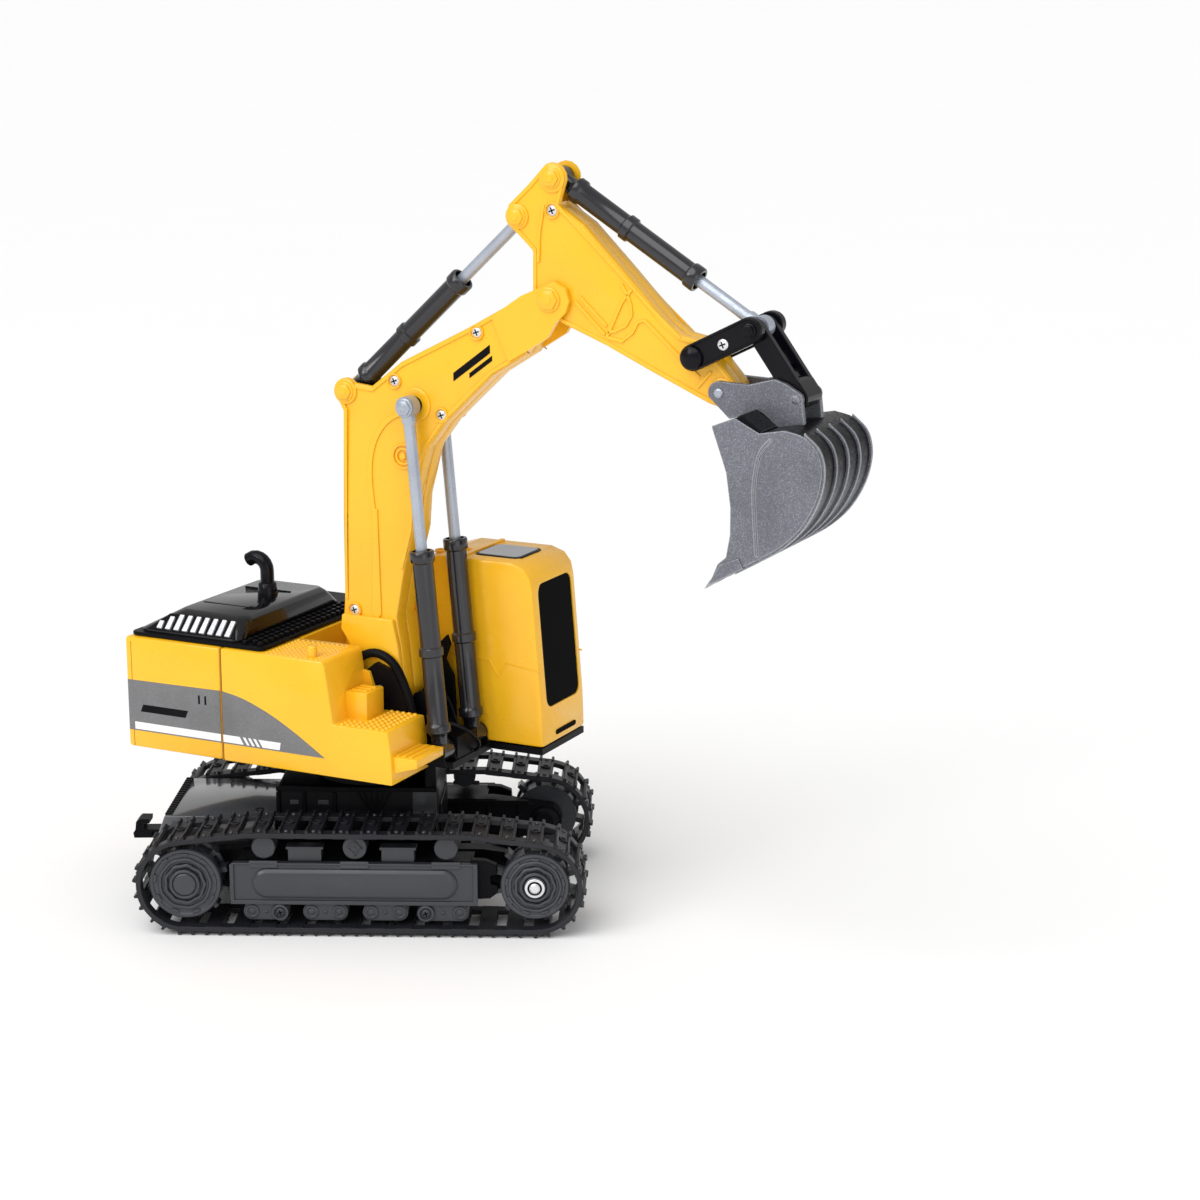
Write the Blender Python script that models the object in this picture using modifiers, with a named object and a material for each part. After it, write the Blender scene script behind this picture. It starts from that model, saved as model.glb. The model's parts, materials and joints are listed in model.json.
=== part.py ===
"""Toy crawler excavator, about 1:24 of a 20-tonne machine.

Every piece is one closed solid.  Shapes are written in millimetres in one of two frames that share the
swing axis: the chassis frame (X along the tracks, forward) and the house frame, which is the chassis frame
turned by HOUSE_YAW.  Y is to the machine's left and Z is up.  A moving piece hangs under an empty that
stands on its joint's axis.
"""
import math

import bmesh
import bpy
from mathutils import Euler, Matrix, Vector

MM = 0.001
GAP = 0.3

# Overall placing: the swing axis stands here, so that the origin is under the middle of the whole toy.
SWING_AXIS = (-50.46, 18.80)
HOUSE_YAW = math.radians(-24.7)

# Crawler tracks
HUB_X = 73.0
TRACK_RADIUS = 21.5
BELT_THICKNESS = 3.9
BELT_INNER_Y = 31.0
BELT_OUTER_Y = 60.0
WHEEL_RADIUS = TRACK_RADIUS - BELT_THICKNESS - 0.4
HUB_Z = TRACK_RADIUS
AXLE_RADIUS = 1.7
AXLE_CLEARANCE = 0.4
FRAME_INNER_Y = 30.6
FRAME_OUTER_Y = 38.0
PANEL_INNER_Y = 53.0
PANEL_OUTER_Y = 56.0
BOGIE_SPANS = ((-49.5, -29.3), (-24.6, -4.7), (0.4, 20.5), (23.2, 45.8))
RETURN_ROLLER_X = (-40.0, -2.0, 36.0)
RETURN_ROLLER_Z = 37.2
RETURN_ROLLER_RADIUS = 4.9
PANEL_TOP_Z = 31.0
TOP_RUN_RISE = 3.3

# Chassis
PEDESTAL_LOW = (-38.7, -25.0, 14.2)
PEDESTAL_HIGH = (30.0, 25.0, 54.6)
DECK_HALF_WIDTH = 27.0

# House
HOUSE_REAR_X = -90.5
HOUSE_HALF_WIDTH = 52.0
FLOOR_LOW_Z = 67.4
FLOOR_HIGH_Z = 70.3
SHELL_LOW_Z = FLOOR_HIGH_Z + GAP
SKIRT_LOW_Z = 67.0
HOUSE_TOP_Z = 116.0
SEAM_X = -42.0
STEP_Z = 89.7
WELL_RIGHT_Y = -21.7
WELL_LEFT_Y = 12.3
WALL = 2.0

# Joint axes in the house frame, (x, z)
BOOM_PIVOT = (17.0, 98.0)
LIFT_FOOT = (46.5, 75.0)
LIFT_EYE = (33.5, 219.0)
ARM_PIVOT = (95.7, 265.3)
STICK_FOOT = (0.2, 222.2)
STICK_EYE = (80.7, 297.1)
CURL_FOOT = (96.2, 312.5)
ROCKER_PIVOT = (159.1, 246.7)
LINK_PIVOT = (182.6, 258.5)
BUCKET_PIVOT = (169.5, 233.5)
BUCKET_LINK_PIVOT = (201.0, 233.0)

# Boom, arm and bucket widths, measured from the plane halfway across the boom
BOOM_Y = -8.0
BOOM_HALF_WIDTH = 7.5
FOOT_HALF_WIDTH = 10.0
TIP_CHEEK_INNER = 7.15
TIP_CHEEK_OUTER = 9.3
ARM_HALF_WIDTH = 6.7
LIFT_OFFSET_Y = 14.0
BUCKET_HALF_WIDTH = 26.0
BUCKET_WALL = 2.2
EAR_INNER = 8.0
EAR_OUTER = 10.5

# Cylinders
BARREL_RADIUS = 4.4
COLLAR_RADIUS = 5.2
BORE_RADIUS = 3.9
ROD_RADIUS = 2.4
EYE_RADIUS = 4.4
PIN_RADIUS = 1.6
PIN_CLEARANCE = 0.35

FINISHES = {
    "yellow": ((0.94, 0.52, 0.03), 0.28, 0.0),
    "black": ((0.02, 0.02, 0.022), 0.35, 0.0),
    "dark_grey": ((0.06, 0.06, 0.065), 0.5, 0.0),
    "belt": ((0.03, 0.03, 0.032), 0.7, 0.0),
    "silver": ((0.62, 0.63, 0.65), 0.3, 0.9),
    "steel": ((0.7, 0.7, 0.72), 0.25, 1.0),
    "bucket_grey": ((0.33, 0.34, 0.36), 0.45, 0.4),
    "glass": ((0.01, 0.01, 0.012), 0.08, 0.0),
    "roof_glass": ((0.3, 0.33, 0.36), 0.15, 0.0),
    "board": ((0.02, 0.22, 0.08), 0.5, 0.0),
    "battery": ((0.1, 0.2, 0.5), 0.45, 0.0),
}


def clear_scene():
    for item in list(bpy.data.objects):
        bpy.data.objects.remove(item, do_unlink=True)


def new_collection(name):
    collection = bpy.data.collections.new(name)
    bpy.context.scene.collection.children.link(collection)
    return collection


clear_scene()
MODEL = new_collection("toy_excavator")
CUTTERS = new_collection("cutters")


# ---------------------------------------------------------------- frames


def base_frame(name, location, yaw, parent=None):
    """A frame whose pieces are written from its own zero point."""
    empty = bpy.data.objects.new(name, None)
    MODEL.objects.link(empty)
    empty.location = Vector(location) * MM
    empty.rotation_euler.z = yaw
    empty.parent = parent
    return {"empty": empty, "origin": Vector((0.0, 0.0, 0.0))}


def pivot_frame(name, point, parent, y=0.0):
    """An empty on a joint's axis; pieces under it keep the coordinates of the frame they were written in."""
    empty = bpy.data.objects.new(name, None)
    MODEL.objects.link(empty)
    origin = Vector((point[0], y, point[1])) * MM
    empty.parent = parent["empty"]
    empty.location = origin - parent["origin"]
    return {"empty": empty, "origin": origin}


def finish(item, frame, look):
    """Hangs a piece under its frame and paints it; a piece without a look is a cutter or a joined shape."""
    item.parent = frame["empty"]
    item.location = item.location - frame["origin"]
    if look is None:
        CUTTERS.objects.link(item)
        item.hide_render = True
        item.display_type = "WIRE"
        return item
    MODEL.objects.link(item)
    colour, roughness, metallic = FINISHES[look]
    material = bpy.data.materials.new(item.name + "_" + look)
    material.use_nodes = True
    shader = material.node_tree.nodes["Principled BSDF"]
    shader.inputs["Base Color"].default_value = (*colour, 1.0)
    shader.inputs["Roughness"].default_value = roughness
    shader.inputs["Metallic"].default_value = metallic
    item.data.materials.clear()
    item.data.materials.append(material)
    return item


# ---------------------------------------------------------------- shapes


def block(name, frame, low, high, look=None, bevel=0.0):
    """A box between two corners, with rounded edges where a bevel is given."""
    shape = bmesh.new()
    bmesh.ops.create_cube(shape, size=1.0)
    size = [high[i] - low[i] for i in range(3)]
    bmesh.ops.scale(shape, vec=Vector(size) * MM, verts=shape.verts)
    mesh = bpy.data.meshes.new(name)
    shape.to_mesh(mesh)
    shape.free()
    item = bpy.data.objects.new(name, mesh)
    item.location = Vector([(low[i] + high[i]) / 2 for i in range(3)]) * MM
    if bevel:
        round_edges(item, bevel)
    return finish(item, frame, look)


def tapered_block(name, frame, low, high, top_low, top_high, look=None, bevel=0.0):
    """A box whose upper face is the smaller rectangle between top_low and top_high."""
    item = block(name, frame, low, high, look)
    centre = [(low[i] + high[i]) / 2 for i in range(2)]
    for vertex in item.data.vertices:
        if vertex.co.z > 0:
            for i in range(2):
                edge = top_high[i] if vertex.co[i] > 0 else top_low[i]
                vertex.co[i] = (edge - centre[i]) * MM
    if bevel:
        round_edges(item, bevel)
    return item


def round_edges(item, width, segments=2, angle=40.0):
    modifier = item.modifiers.new("rounded_edges", "BEVEL")
    modifier.width = width * MM
    modifier.segments = segments
    modifier.limit_method = "ANGLE"
    modifier.angle_limit = math.radians(angle)


def plate(name, frame, outlines, low, high, look=None, along="Y", bevel=0.0, tilt=None):
    """A flat outline, with any holes after it, extruded from low to high along an axis.

    Points are (x, z) for along Y, (x, y) for along Z and (y, z) for along X.  tilt is (angle, x, z): the
    plate is
    written about its own centre, which then stands at x, z, turned about Y.
    """
    curve = bpy.data.curves.new(name, "CURVE")
    curve.dimensions = "2D"
    curve.fill_mode = "BOTH"
    curve.extrude = (high - low) / 2 * MM
    for points in outlines:
        spline = curve.splines.new("POLY")
        spline.points.add(len(points) - 1)
        for knot, (u, v) in zip(spline.points, points):
            knot.co = (u * MM, v * MM, 0.0, 1.0)
        spline.use_cyclic_u = True
    drawn = bpy.data.objects.new(name + "_outline", curve)
    CUTTERS.objects.link(drawn)
    turns = {"X": (math.pi / 2, 0.0, math.pi / 2), "Y": (math.pi / 2, 0.0, 0.0), "Z": (0.0, 0.0, 0.0)}
    drawn.rotation_euler = turns[along]
    middle = {"X": (1, 0, 0), "Y": (0, 1, 0), "Z": (0, 0, 1)}[along]
    drawn.location = Vector(middle) * (low + high) / 2 * MM
    if tilt:
        angle, x, z = tilt
        turn = Matrix.Rotation(angle, 4, "Y")
        drawn.location = turn @ drawn.location + Vector((x, 0.0, z)) * MM
        drawn.rotation_euler = (turn @ Euler(turns[along]).to_matrix().to_4x4()).to_euler()
    bpy.context.view_layer.update()
    evaluated = drawn.evaluated_get(bpy.context.evaluated_depsgraph_get())
    mesh = bpy.data.meshes.new_from_object(evaluated)
    mesh.name = name
    item = bpy.data.objects.new(name, mesh)
    item.matrix_world = drawn.matrix_world
    bpy.data.objects.remove(drawn, do_unlink=True)
    weld(mesh)
    if bevel:
        round_edges(item, bevel)
    return finish(item, frame, look)


def weld(mesh):
    shape = bmesh.new()
    shape.from_mesh(mesh)
    bmesh.ops.remove_doubles(shape, verts=shape.verts, dist=1e-6)
    bmesh.ops.dissolve_limit(shape, angle_limit=0.001, verts=shape.verts, edges=shape.edges)
    shape.to_mesh(mesh)
    shape.free()


def turned(name, frame, profile, at, look=None, direction=(0.0, 0.0, 1.0), steps=20, ring=False):
    """A profile of (radius, height) turned about an axis through the point at, height measured along
    direction.

    The profile runs from the highest point down its outer side; ring closes it for a shape with a bore.
    """
    mesh = bpy.data.meshes.new(name)
    points = [(radius * MM, 0.0, height * MM) for radius, height in profile]
    edges = [(i, i + 1) for i in range(len(points) - 1)]
    if ring:
        edges.append((len(points) - 1, 0))
    mesh.from_pydata(points, edges, [])
    item = bpy.data.objects.new(name, mesh)
    item.location = Vector(at) * MM
    item.rotation_euler = Vector(direction).to_track_quat("Z", "Y").to_euler()
    screw = item.modifiers.new("turned", "SCREW")
    screw.axis = "Z"
    screw.steps = steps
    screw.render_steps = steps
    screw.use_smooth_shade = True
    screw.use_merge_vertices = True
    screw.merge_threshold = 0.00001
    return finish(item, frame, look)


def cylinder(name, frame, radius, at, length, look=None, direction=(0.0, 1.0, 0.0), steps=20):
    """A plain round bar from the point at, along direction."""
    profile = ((0.0, length), (radius, length), (radius, 0.0), (0.0, 0.0))
    return turned(name, frame, profile, at, look, direction, steps)


def combine(target, other, operation):
    modifier = target.modifiers.new(other.name, "BOOLEAN")
    modifier.operation = operation
    modifier.solver = "EXACT"
    modifier.object = other


def join(target, other):
    combine(target, other, "UNION")


def cut(target, other):
    combine(target, other, "DIFFERENCE")


def arc(centre, radius, start, end, steps):
    """Points on a circle from one angle to another, in degrees."""
    points = []
    for i in range(steps + 1):
        angle = math.radians(start + (end - start) * i / steps)
        points.append((centre[0] + radius * math.cos(angle), centre[1] + radius * math.sin(angle)))
    return points


def rounded_rectangle(low, high, radius, steps=4):
    corners = (
        ((high[0] - radius, high[1] - radius), 0),
        ((low[0] + radius, high[1] - radius), 90),
        ((low[0] + radius, low[1] + radius), 180),
        ((high[0] - radius, low[1] + radius), 270),
    )
    points = []
    for centre, start in corners:
        points += arc(centre, radius, start, start + 90, steps)
    return points


def stadium(start, end, radius, steps=8):
    """The outline of a bar with round ends between two points."""
    heading = math.degrees(math.atan2(end[1] - start[1], end[0] - start[0]))
    return arc(end, radius, heading - 90, heading + 90, steps) + arc(start, radius, heading + 90, heading +
    270, steps)


def inset(points, distance):
    """The outline moved inwards by a wall's thickness, whichever way round it runs."""
    area = sum(a[0] * b[1] - b[0] * a[1] for a, b in zip(points, points[1:] + points[:1]))
    side = 1.0 if area > 0 else -1.0
    moved = []
    for before, here, after in zip(points[-1:] + points[:-1], points, points[1:] + points[:1]):
        into = (Vector(here) - Vector(before)).normalized()
        out = (Vector(after) - Vector(here)).normalized()
        normal = (Vector((-into.y, into.x)) + Vector((-out.y, out.x))).normalized() * side
        stretch = max(normal.dot(Vector((-into.y, into.x)) * side), 0.5)
        moved.append((here[0] + normal.x * distance / stretch, here[1] + normal.y * distance / stretch))
    return moved


def across(side, inner, outer):
    """The y span of a piece that is written by its distances from the middle, on the side -1 or +1."""
    return (inner, outer) if side > 0 else (-outer, -inner)


# ---------------------------------------------------------------- chassis and tracks


def build_chassis(chassis):
    frame = block("chassis_frame", chassis, PEDESTAL_LOW, PEDESTAL_HIGH, "dark_grey", bevel=2.5)
    beam = block("cross_beam", chassis, (-36.0, -FRAME_INNER_Y + GAP, 15.2), (22.0, FRAME_INNER_Y - GAP,
    29.0))
    hollow = block("pedestal_hollow", chassis, (-36.2, -22.5, 8.0), (27.0, 22.5, 51.6))
    bore = cylinder("swing_bore", chassis, 7.0, (0.0, 0.0, 40.0), 20.0, direction=(0, 0, 1))
    join(frame, beam)
    join(frame, block("front_wall", chassis, (24.8, -24.6, 50.0), (29.6, 24.6, 65.0), bevel=0.6))
    cut(frame, hollow)
    cut(frame, bore)

    deck_outline = [
        (-91.6, 23.5), (-91.6, 27.5), (-86.4, 41.5), (-39.0, 41.5), (-39.0, 26.0), (-76.5, 26.0), (-80.0,
        23.5)]
    deck = plate("rear_deck", chassis, [deck_outline], -DECK_HALF_WIDTH, DECK_HALF_WIDTH, "dark_grey",
    bevel=0.8)
    inner = [(-89.4, 10.0), (-89.4, 27.2), (-84.9, 39.1), (-36.0, 39.1), (-36.0, 10.0)]
    cut(deck, plate("deck_hollow", chassis, [inner], 2.0 - DECK_HALF_WIDTH, DECK_HALF_WIDTH - 2.0))

    hook = [
        (-91.9, 23.8), (-91.9, 27.6), (-100.2, 27.4), (-100.4, 30.2), (-97.8, 30.2), (-97.6, 32.2),
        (-102.2, 32.2),
        (-103.6, 30.8), (-104.0, 27.2), (-105.0, 25.8), (-104.6, 23.6)]
    tow_hook = plate("tow_hook", chassis, [hook], -4.0, 4.0, "dark_grey")
    cut(tow_hook, cylinder("tow_eye", chassis, 1.0, (-96.0, -6.0, 25.6), 12.0, steps=10))

    belly = rounded_rectangle((-84.0, -24.5), (28.0, 24.5), 5.0, 3)
    pan = plate("belly_pan", chassis, [belly], 11.0, 13.9, "dark_grey", along="Z")
    cut(pan, block("switch_slot", chassis, (-62.0, -3.0, 9.0), (-50.0, 3.0, 16.0)))
    switch = block("power_switch", chassis, (-59.5, -2.4, 9.8), (-55.5, 2.4, 16.4), "black")
    joined = block("switch_slider", chassis, (-61.8, -4.5, 14.3), (-53.5, 4.5, 15.9))
    join(switch, joined)
    block("battery_pack", chassis, (-32.0, -16.0, 14.3), (24.0, 16.0, 32.0), "battery", bevel=2.0)

    ring_profile = [(23.8, 57.0), (24.3, 54.9), (9.0, 54.9), (9.0, 57.0)]
    turned("turntable_ring", chassis, ring_profile, (0, 0, 0), "dark_grey", steps=28, ring=True)


def build_track(chassis, side, name):
    def label(piece):
        return name + "_" + piece

    outward = (0.0, float(side), 0.0)

    gearbox_y = across(side, 8.0, 24.5)
    box_low = (-79.5, gearbox_y[0], 14.3)
    box_high = (-46.5, gearbox_y[1], 38.0)
    gearbox = block(label("drive_gearbox"), chassis, box_low, box_high, "black", bevel=1.0)
    socket = cylinder(
        label("gearbox_socket"), chassis, AXLE_RADIUS + AXLE_CLEARANCE, (-HUB_X, side * 20.0, HUB_Z), 10.0,
        direction=outward, steps=12)
    cut(gearbox, socket)

    inner_y = across(side, FRAME_INNER_Y, FRAME_OUTER_Y)
    rail = arc((HUB_X, HUB_Z), 7.5, -60, 60, 5) + [(50.0, 31.5), (-50.0, 31.5)]
    rail += arc((-HUB_X, HUB_Z), 7.5, 120, 240, 5) + [(-50.0, 13.5), (50.0, 13.5)]
    track_frame = plate(label("track_frame"), chassis, [rail], inner_y[0], inner_y[1], "black")
    core_y = across(side, FRAME_OUTER_Y - 1.0, PANEL_INNER_Y - GAP)
    join(track_frame, block(label("core"), chassis, (-51.0, core_y[0], 14.0), (47.0, core_y[1], 31.0)))
    for end in (-1, 1):
        hole = cylinder(
            label("hub_hole_" + ("rear" if end < 0 else "front")), chassis, AXLE_RADIUS + AXLE_CLEARANCE,
            (end * HUB_X, side * (FRAME_INNER_Y - 2.0), HUB_Z), 12.0, direction=outward, steps=12)
        cut(track_frame, hole)

    plate(label("side_panel"), chassis, [panel_outline()], *across(side, PANEL_INNER_Y, PANEL_OUTER_Y),
    "black")

    outer = belt_loop(TRACK_RADIUS)
    inner = belt_loop(TRACK_RADIUS - BELT_THICKNESS)
    plate(label("track_belt"), chassis, [outer, inner], *across(side, BELT_INNER_Y, BELT_OUTER_Y), "belt")

    wheel_profile = [
        (4.2, 57.4), (4.2, 56.4), (9.5, 55.2), (15.3, 55.2), (WHEEL_RADIUS, 53.5), (WHEEL_RADIUS, 40.5),
        (14.0, 38.7), (AXLE_RADIUS + AXLE_CLEARANCE, 38.7), (AXLE_RADIUS + AXLE_CLEARANCE, 57.4)]
    for end, kind in ((-1, "sprocket"), (1, "idler")):
        hub = pivot_frame(label(kind + "_axis"), (end * HUB_X, HUB_Z), chassis)
        turned(
            label(kind), hub, wheel_profile, (end * HUB_X, 0.0, HUB_Z), "black", direction=outward, steps=20,
            ring=True)
        if end < 0:
            cylinder(
                label("drive_axle"), hub, AXLE_RADIUS, (-HUB_X, side * 20.5, HUB_Z), 36.0, "steel",
                direction=outward, steps=12)
        else:
            bolt = [(0.0, 58.4), (3.2, 58.4), (3.2, 57.7), (AXLE_RADIUS, 57.7), (AXLE_RADIUS, 31.0), (0.0,
            31.0)]
            turned(label("idler_axle"), chassis, bolt, (HUB_X, 0, HUB_Z), "steel", direction=outward,
            steps=12)


def belt_loop(radius):
    """A loop round both hubs, with its top run held up by the return rollers."""
    top = HUB_Z + radius + TOP_RUN_RISE
    points = arc((HUB_X, HUB_Z), radius, -90, 83, 11)
    points += [(46.0, top), (-46.0, top)]
    return points + arc((-HUB_X, HUB_Z), radius, 97, 270, 11)


def panel_outline():
    """The outer panel's outline: return rollers stand on its top edge and the bogies hang under it."""
    points = [(49.0, 12.6), (54.8, 16.5), (54.8, 28.0), (49.0, PANEL_TOP_Z)]
    for x in reversed(RETURN_ROLLER_X):
        points.append((x + 3.2, PANEL_TOP_Z))
        points += arc((x, RETURN_ROLLER_Z), RETURN_ROLLER_RADIUS, -48, 228, 8)
        points.append((x - 3.2, PANEL_TOP_Z))
    points += [(-54.0, PANEL_TOP_Z), (-54.0, 12.6)]
    for low, high in BOGIE_SPANS:
        points += [(low + 2.0, 12.6), (low, 11.0), (low, 6.6), (low + 1.8, 5.0)]
        points += [(high - 1.8, 5.0), (high, 6.6), (high, 11.0), (high - 2.0, 12.6)]
    return points


# ---------------------------------------------------------------- house


def build_house(house):
    inside_x, inside_y = HOUSE_REAR_X + WALL + GAP, HOUSE_HALF_WIDTH - WALL - GAP
    floor_outline = [
        (inside_x, -inside_y), (38.1, -inside_y), (38.1, -21.4), (52.0, -21.4), (52.0, 12.6), (76.3, 12.6),
        (76.3, 51.8), (8.7, 51.8), (8.7, inside_y), (inside_x, inside_y)]
    floor = plate("house_floor", house, [floor_outline], FLOOR_LOW_Z, FLOOR_HIGH_Z, "black", along="Z")
    collar = [(0.0, 68.0), (24.0, 68.0), (24.0, 57.3), (0.0, 57.3)]
    join(floor, turned("swing_collar", house, collar, (0, 0, 0), steps=24))
    join(floor, cylinder("swing_stub", house, 6.0, (0, 0, 48.0), 12.0, direction=(0, 0, 1), steps=16))
    cheek = [(-1.0, 69.5), (3.0, 90.0), (9.0, 104.0), (15.0, 109.0), (24.0, 106.0), (29.0, 96.0), (34.0,
    69.5)]
    for name, low in (("right_cheek", WELL_RIGHT_Y + GAP), ("left_cheek", BOOM_Y + FOOT_HALF_WIDTH + 0.4)):
        plate_piece = plate(name, house, [cheek], low, low + 3.0)
        join(floor, plate_piece)
    join(floor, block("lift_block", house, (41.5, -16.5, 69.5), (51.5, 0.5, 80.0)))
    for name, point in (("boom_pin_hole", BOOM_PIVOT), ("lift_pin_hole", LIFT_FOOT)):
        radius = PIN_RADIUS + PIN_CLEARANCE
        cut(floor, cylinder(name, house, radius, (point[0], -30.0, point[1]), 50.0, steps=12))

    low_z = SHELL_LOW_Z
    inner_wall_y = HOUSE_HALF_WIDTH - WALL
    rear_low = (HOUSE_REAR_X, -HOUSE_HALF_WIDTH, SKIRT_LOW_Z)
    rear = block(
        "rear_body_shell", house, rear_low, (SEAM_X - 0.2, HOUSE_HALF_WIDTH, HOUSE_TOP_Z), "yellow",
        bevel=1.6)
    saddle = block("saddle", house, (-50.0, WELL_RIGHT_Y + GAP, low_z), (-20.0, WELL_LEFT_Y - GAP,
    HOUSE_TOP_Z))
    join(rear, saddle)
    cut(rear, block(
        "rear_hollow", house, (HOUSE_REAR_X + WALL, WALL - HOUSE_HALF_WIDTH, 60.0),
        (SEAM_X - 0.2 - WALL, HOUSE_HALF_WIDTH - WALL, HOUSE_TOP_Z - WALL)))
    cut(rear, block(
        "saddle_hollow", house, (-48.0, WELL_RIGHT_Y + GAP + WALL, 60.0),
        (-20.0 - WALL, WELL_LEFT_Y - GAP - WALL, HOUSE_TOP_Z - WALL)))

    cut(rear, block(
        "rear_floor_recess", house, (HOUSE_REAR_X + WALL, -inner_wall_y, 60.0), (-40.0, inner_wall_y, low_z)))

    right_outline = [
        (SEAM_X + 0.2, SKIRT_LOW_Z), (SEAM_X + 0.2, HOUSE_TOP_Z), (8.0, HOUSE_TOP_Z), (9.2, 114.4), (13.0,
        STEP_Z),
        (38.9, STEP_Z), (40.3, 78.9), (40.7, SKIRT_LOW_Z)]
    right = plate(
        "right_body_shell", house, [right_outline], -HOUSE_HALF_WIDTH, WELL_RIGHT_Y, "yellow", bevel=0.9)
    join(right, block("box_step", house, (11.5, -40.0, 87.0), (22.0, -26.0, 101.0), bevel=0.6))
    ledge = [(39.2, 71.4), (39.2, 79.0), (51.3, 79.0), (51.3, 75.3)]
    join(right, plate("foot_ledge", house, [ledge], -50.0, -27.8, bevel=0.5))
    right_hollow = [
        (SEAM_X + 2.2, 60.0), (SEAM_X + 2.2, HOUSE_TOP_Z - WALL), (6.5, HOUSE_TOP_Z - WALL), (10.8, STEP_Z
        - WALL),
        (37.0, STEP_Z - WALL), (38.4, 60.0)]
    cut(right, plate(
        "right_hollow", house, [right_hollow], WALL - HOUSE_HALF_WIDTH, WELL_RIGHT_Y - WALL))

    cut(right, block("right_floor_recess", house, (-44.0, -inner_wall_y, 60.0), (38.4, -15.0, low_z)))

    left_low, left_high = (SEAM_X + 0.2, WELL_LEFT_Y, SKIRT_LOW_Z), (8.4, HOUSE_HALF_WIDTH, HOUSE_TOP_Z)
    left = block("left_body_shell", house, left_low, left_high, "yellow", bevel=0.9)
    cut(left, block(
        "left_hollow", house, (SEAM_X + 2.2, WELL_LEFT_Y + WALL, 60.0),
        (6.4, HOUSE_HALF_WIDTH - WALL, HOUSE_TOP_Z - WALL)))
    cut(left, block("left_floor_recess", house, (-44.0, 10.0, 60.0), (12.0, inner_wall_y, low_z)))

    build_engine_cover(house)
    build_cab(house)

    block("swing_gearbox", house, (-41.0, -17.5, low_z), (-23.0, 8.5, 98.0), "black", bevel=1.0)
    block("circuit_board", house, (-84.0, -32.0, 78.0), (-50.0, 32.0, 79.6), "board")
    pin("boom_pivot_pin", house, BOOM_PIVOT, -21.0 - 0.2, 5.2)
    pin("lift_foot_pin", house, LIFT_FOOT, BOOM_Y - LIFT_OFFSET_Y - 4.8, BOOM_Y + LIFT_OFFSET_Y + 4.8)


def build_engine_cover(house):
    base_z = HOUSE_TOP_Z + GAP
    cover = block("engine_cover", house, (-88.5, -50.0, base_z), (-21.8, 50.0, base_z + 2.4), "black",
    bevel=0.8)
    hood = tapered_block(
        "hood", house, (-86.5, -47.0, base_z + 1.0), (-30.0, 33.0, 127.0), (-73.0, -40.0), (-33.0, 24.0),
        bevel=1.2)
    join(cover, hood)
    cut(cover, tapered_block(
        "hood_hollow", house, (-83.0, -44.0, base_z - 2.0), (-34.0, 30.0, 125.0), (-71.0, -37.5), (-36.0,
        21.5)))

    path = [(-51.0, 127.3), (-51.0, 137.0)]
    path += [(-57.0 + 6.0 * math.cos(a), 137.0 + 6.0 * math.sin(a)) for a in (0.4, 0.8, 1.2, math.pi / 2)]
    path.append((-60.0, 143.0))
    curve = bpy.data.curves.new("muffler_path", "CURVE")
    curve.dimensions = "3D"
    curve.bevel_depth = 3.0 * MM
    curve.bevel_resolution = 3
    curve.use_fill_caps = True
    spline = curve.splines.new("POLY")
    spline.points.add(len(path) - 1)
    for knot, (x, z) in zip(spline.points, path):
        knot.co = (x * MM, -1.0 * MM, z * MM, 1.0)
    drawn = bpy.data.objects.new("muffler_path", curve)
    CUTTERS.objects.link(drawn)
    bpy.context.view_layer.update()
    mesh = bpy.data.meshes.new_from_object(drawn.evaluated_get(bpy.context.evaluated_depsgraph_get()))
    weld(mesh)
    pipe = bpy.data.objects.new("muffler", mesh)
    pipe.matrix_world = drawn.matrix_world
    bpy.data.objects.remove(drawn, do_unlink=True)
    finish(pipe, house, "black")
    ring = [(0.0, 132.0), (4.6, 132.0), (5.6, 127.3 - 0.01), (0.0, 127.3 - 0.01)]
    join(pipe, turned("muffler_ring", house, ring, (-51.0, -1.0, 0.0), steps=16))


def build_cab(house):
    right_y = WELL_LEFT_Y
    left_y = HOUSE_HALF_WIDTH + 0.3
    low_z = SHELL_LOW_Z
    rear_x = 8.9
    profile = [
        (rear_x, low_z), (10.0, 118.0), (14.0, 140.0), (20.0, 148.0), (27.0, 150.0), (61.5, 150.0), (67.4,
        148.0),
        (70.7, 143.9), (71.9, 138.6), (76.2, 87.0), (76.8, low_z)]
    cab = plate("cab_shell", house, [profile], right_y, left_y, "yellow", bevel=1.6)
    room = inset(profile, WALL)
    room[0] = (rear_x + WALL, 60.0)
    room[-1] = (76.8 - WALL, 60.0)
    cut(cab, plate("cab_room", house, [room], right_y + WALL, left_y - WALL))

    lean = -math.atan2(76.2 - 71.9, 138.6 - 87.0)
    middle_z = 113.5
    middle_x = 71.9 + (138.6 - middle_z) * (76.2 - 71.9) / (138.6 - 87.0)
    opening = rounded_rectangle((17.8 - GAP, -26.5 - GAP), (48.0 + GAP, 26.5 + GAP), 4.3)
    glass = rounded_rectangle((17.8, -26.5), (48.0, 26.5), 4.0)
    cut(cab, plate("windscreen_opening", house, [opening], -8.0, 6.0, along="X", tilt=(lean, middle_x,
    middle_z)))
    plate("windscreen", house, [glass], -1.9, -0.4, "glass", along="X", tilt=(lean, middle_x, middle_z))

    roof_hole = rounded_rectangle((41.0, 20.5), (61.0, 41.0), 3.0, 3)
    roof_glass = inset(roof_hole, GAP)
    cut(cab, plate("roof_opening", house, [roof_hole], 146.0, 153.0, along="Z"))
    plate("roof_window", house, [roof_glass], 148.2, 149.7, "roof_glass", along="Z")


# ---------------------------------------------------------------- boom and arm


def pin(name, frame, point, low, high, look="steel", radius=PIN_RADIUS):
    return cylinder(name, frame, radius, (point[0], low, point[1]), high - low, look, steps=8)


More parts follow.
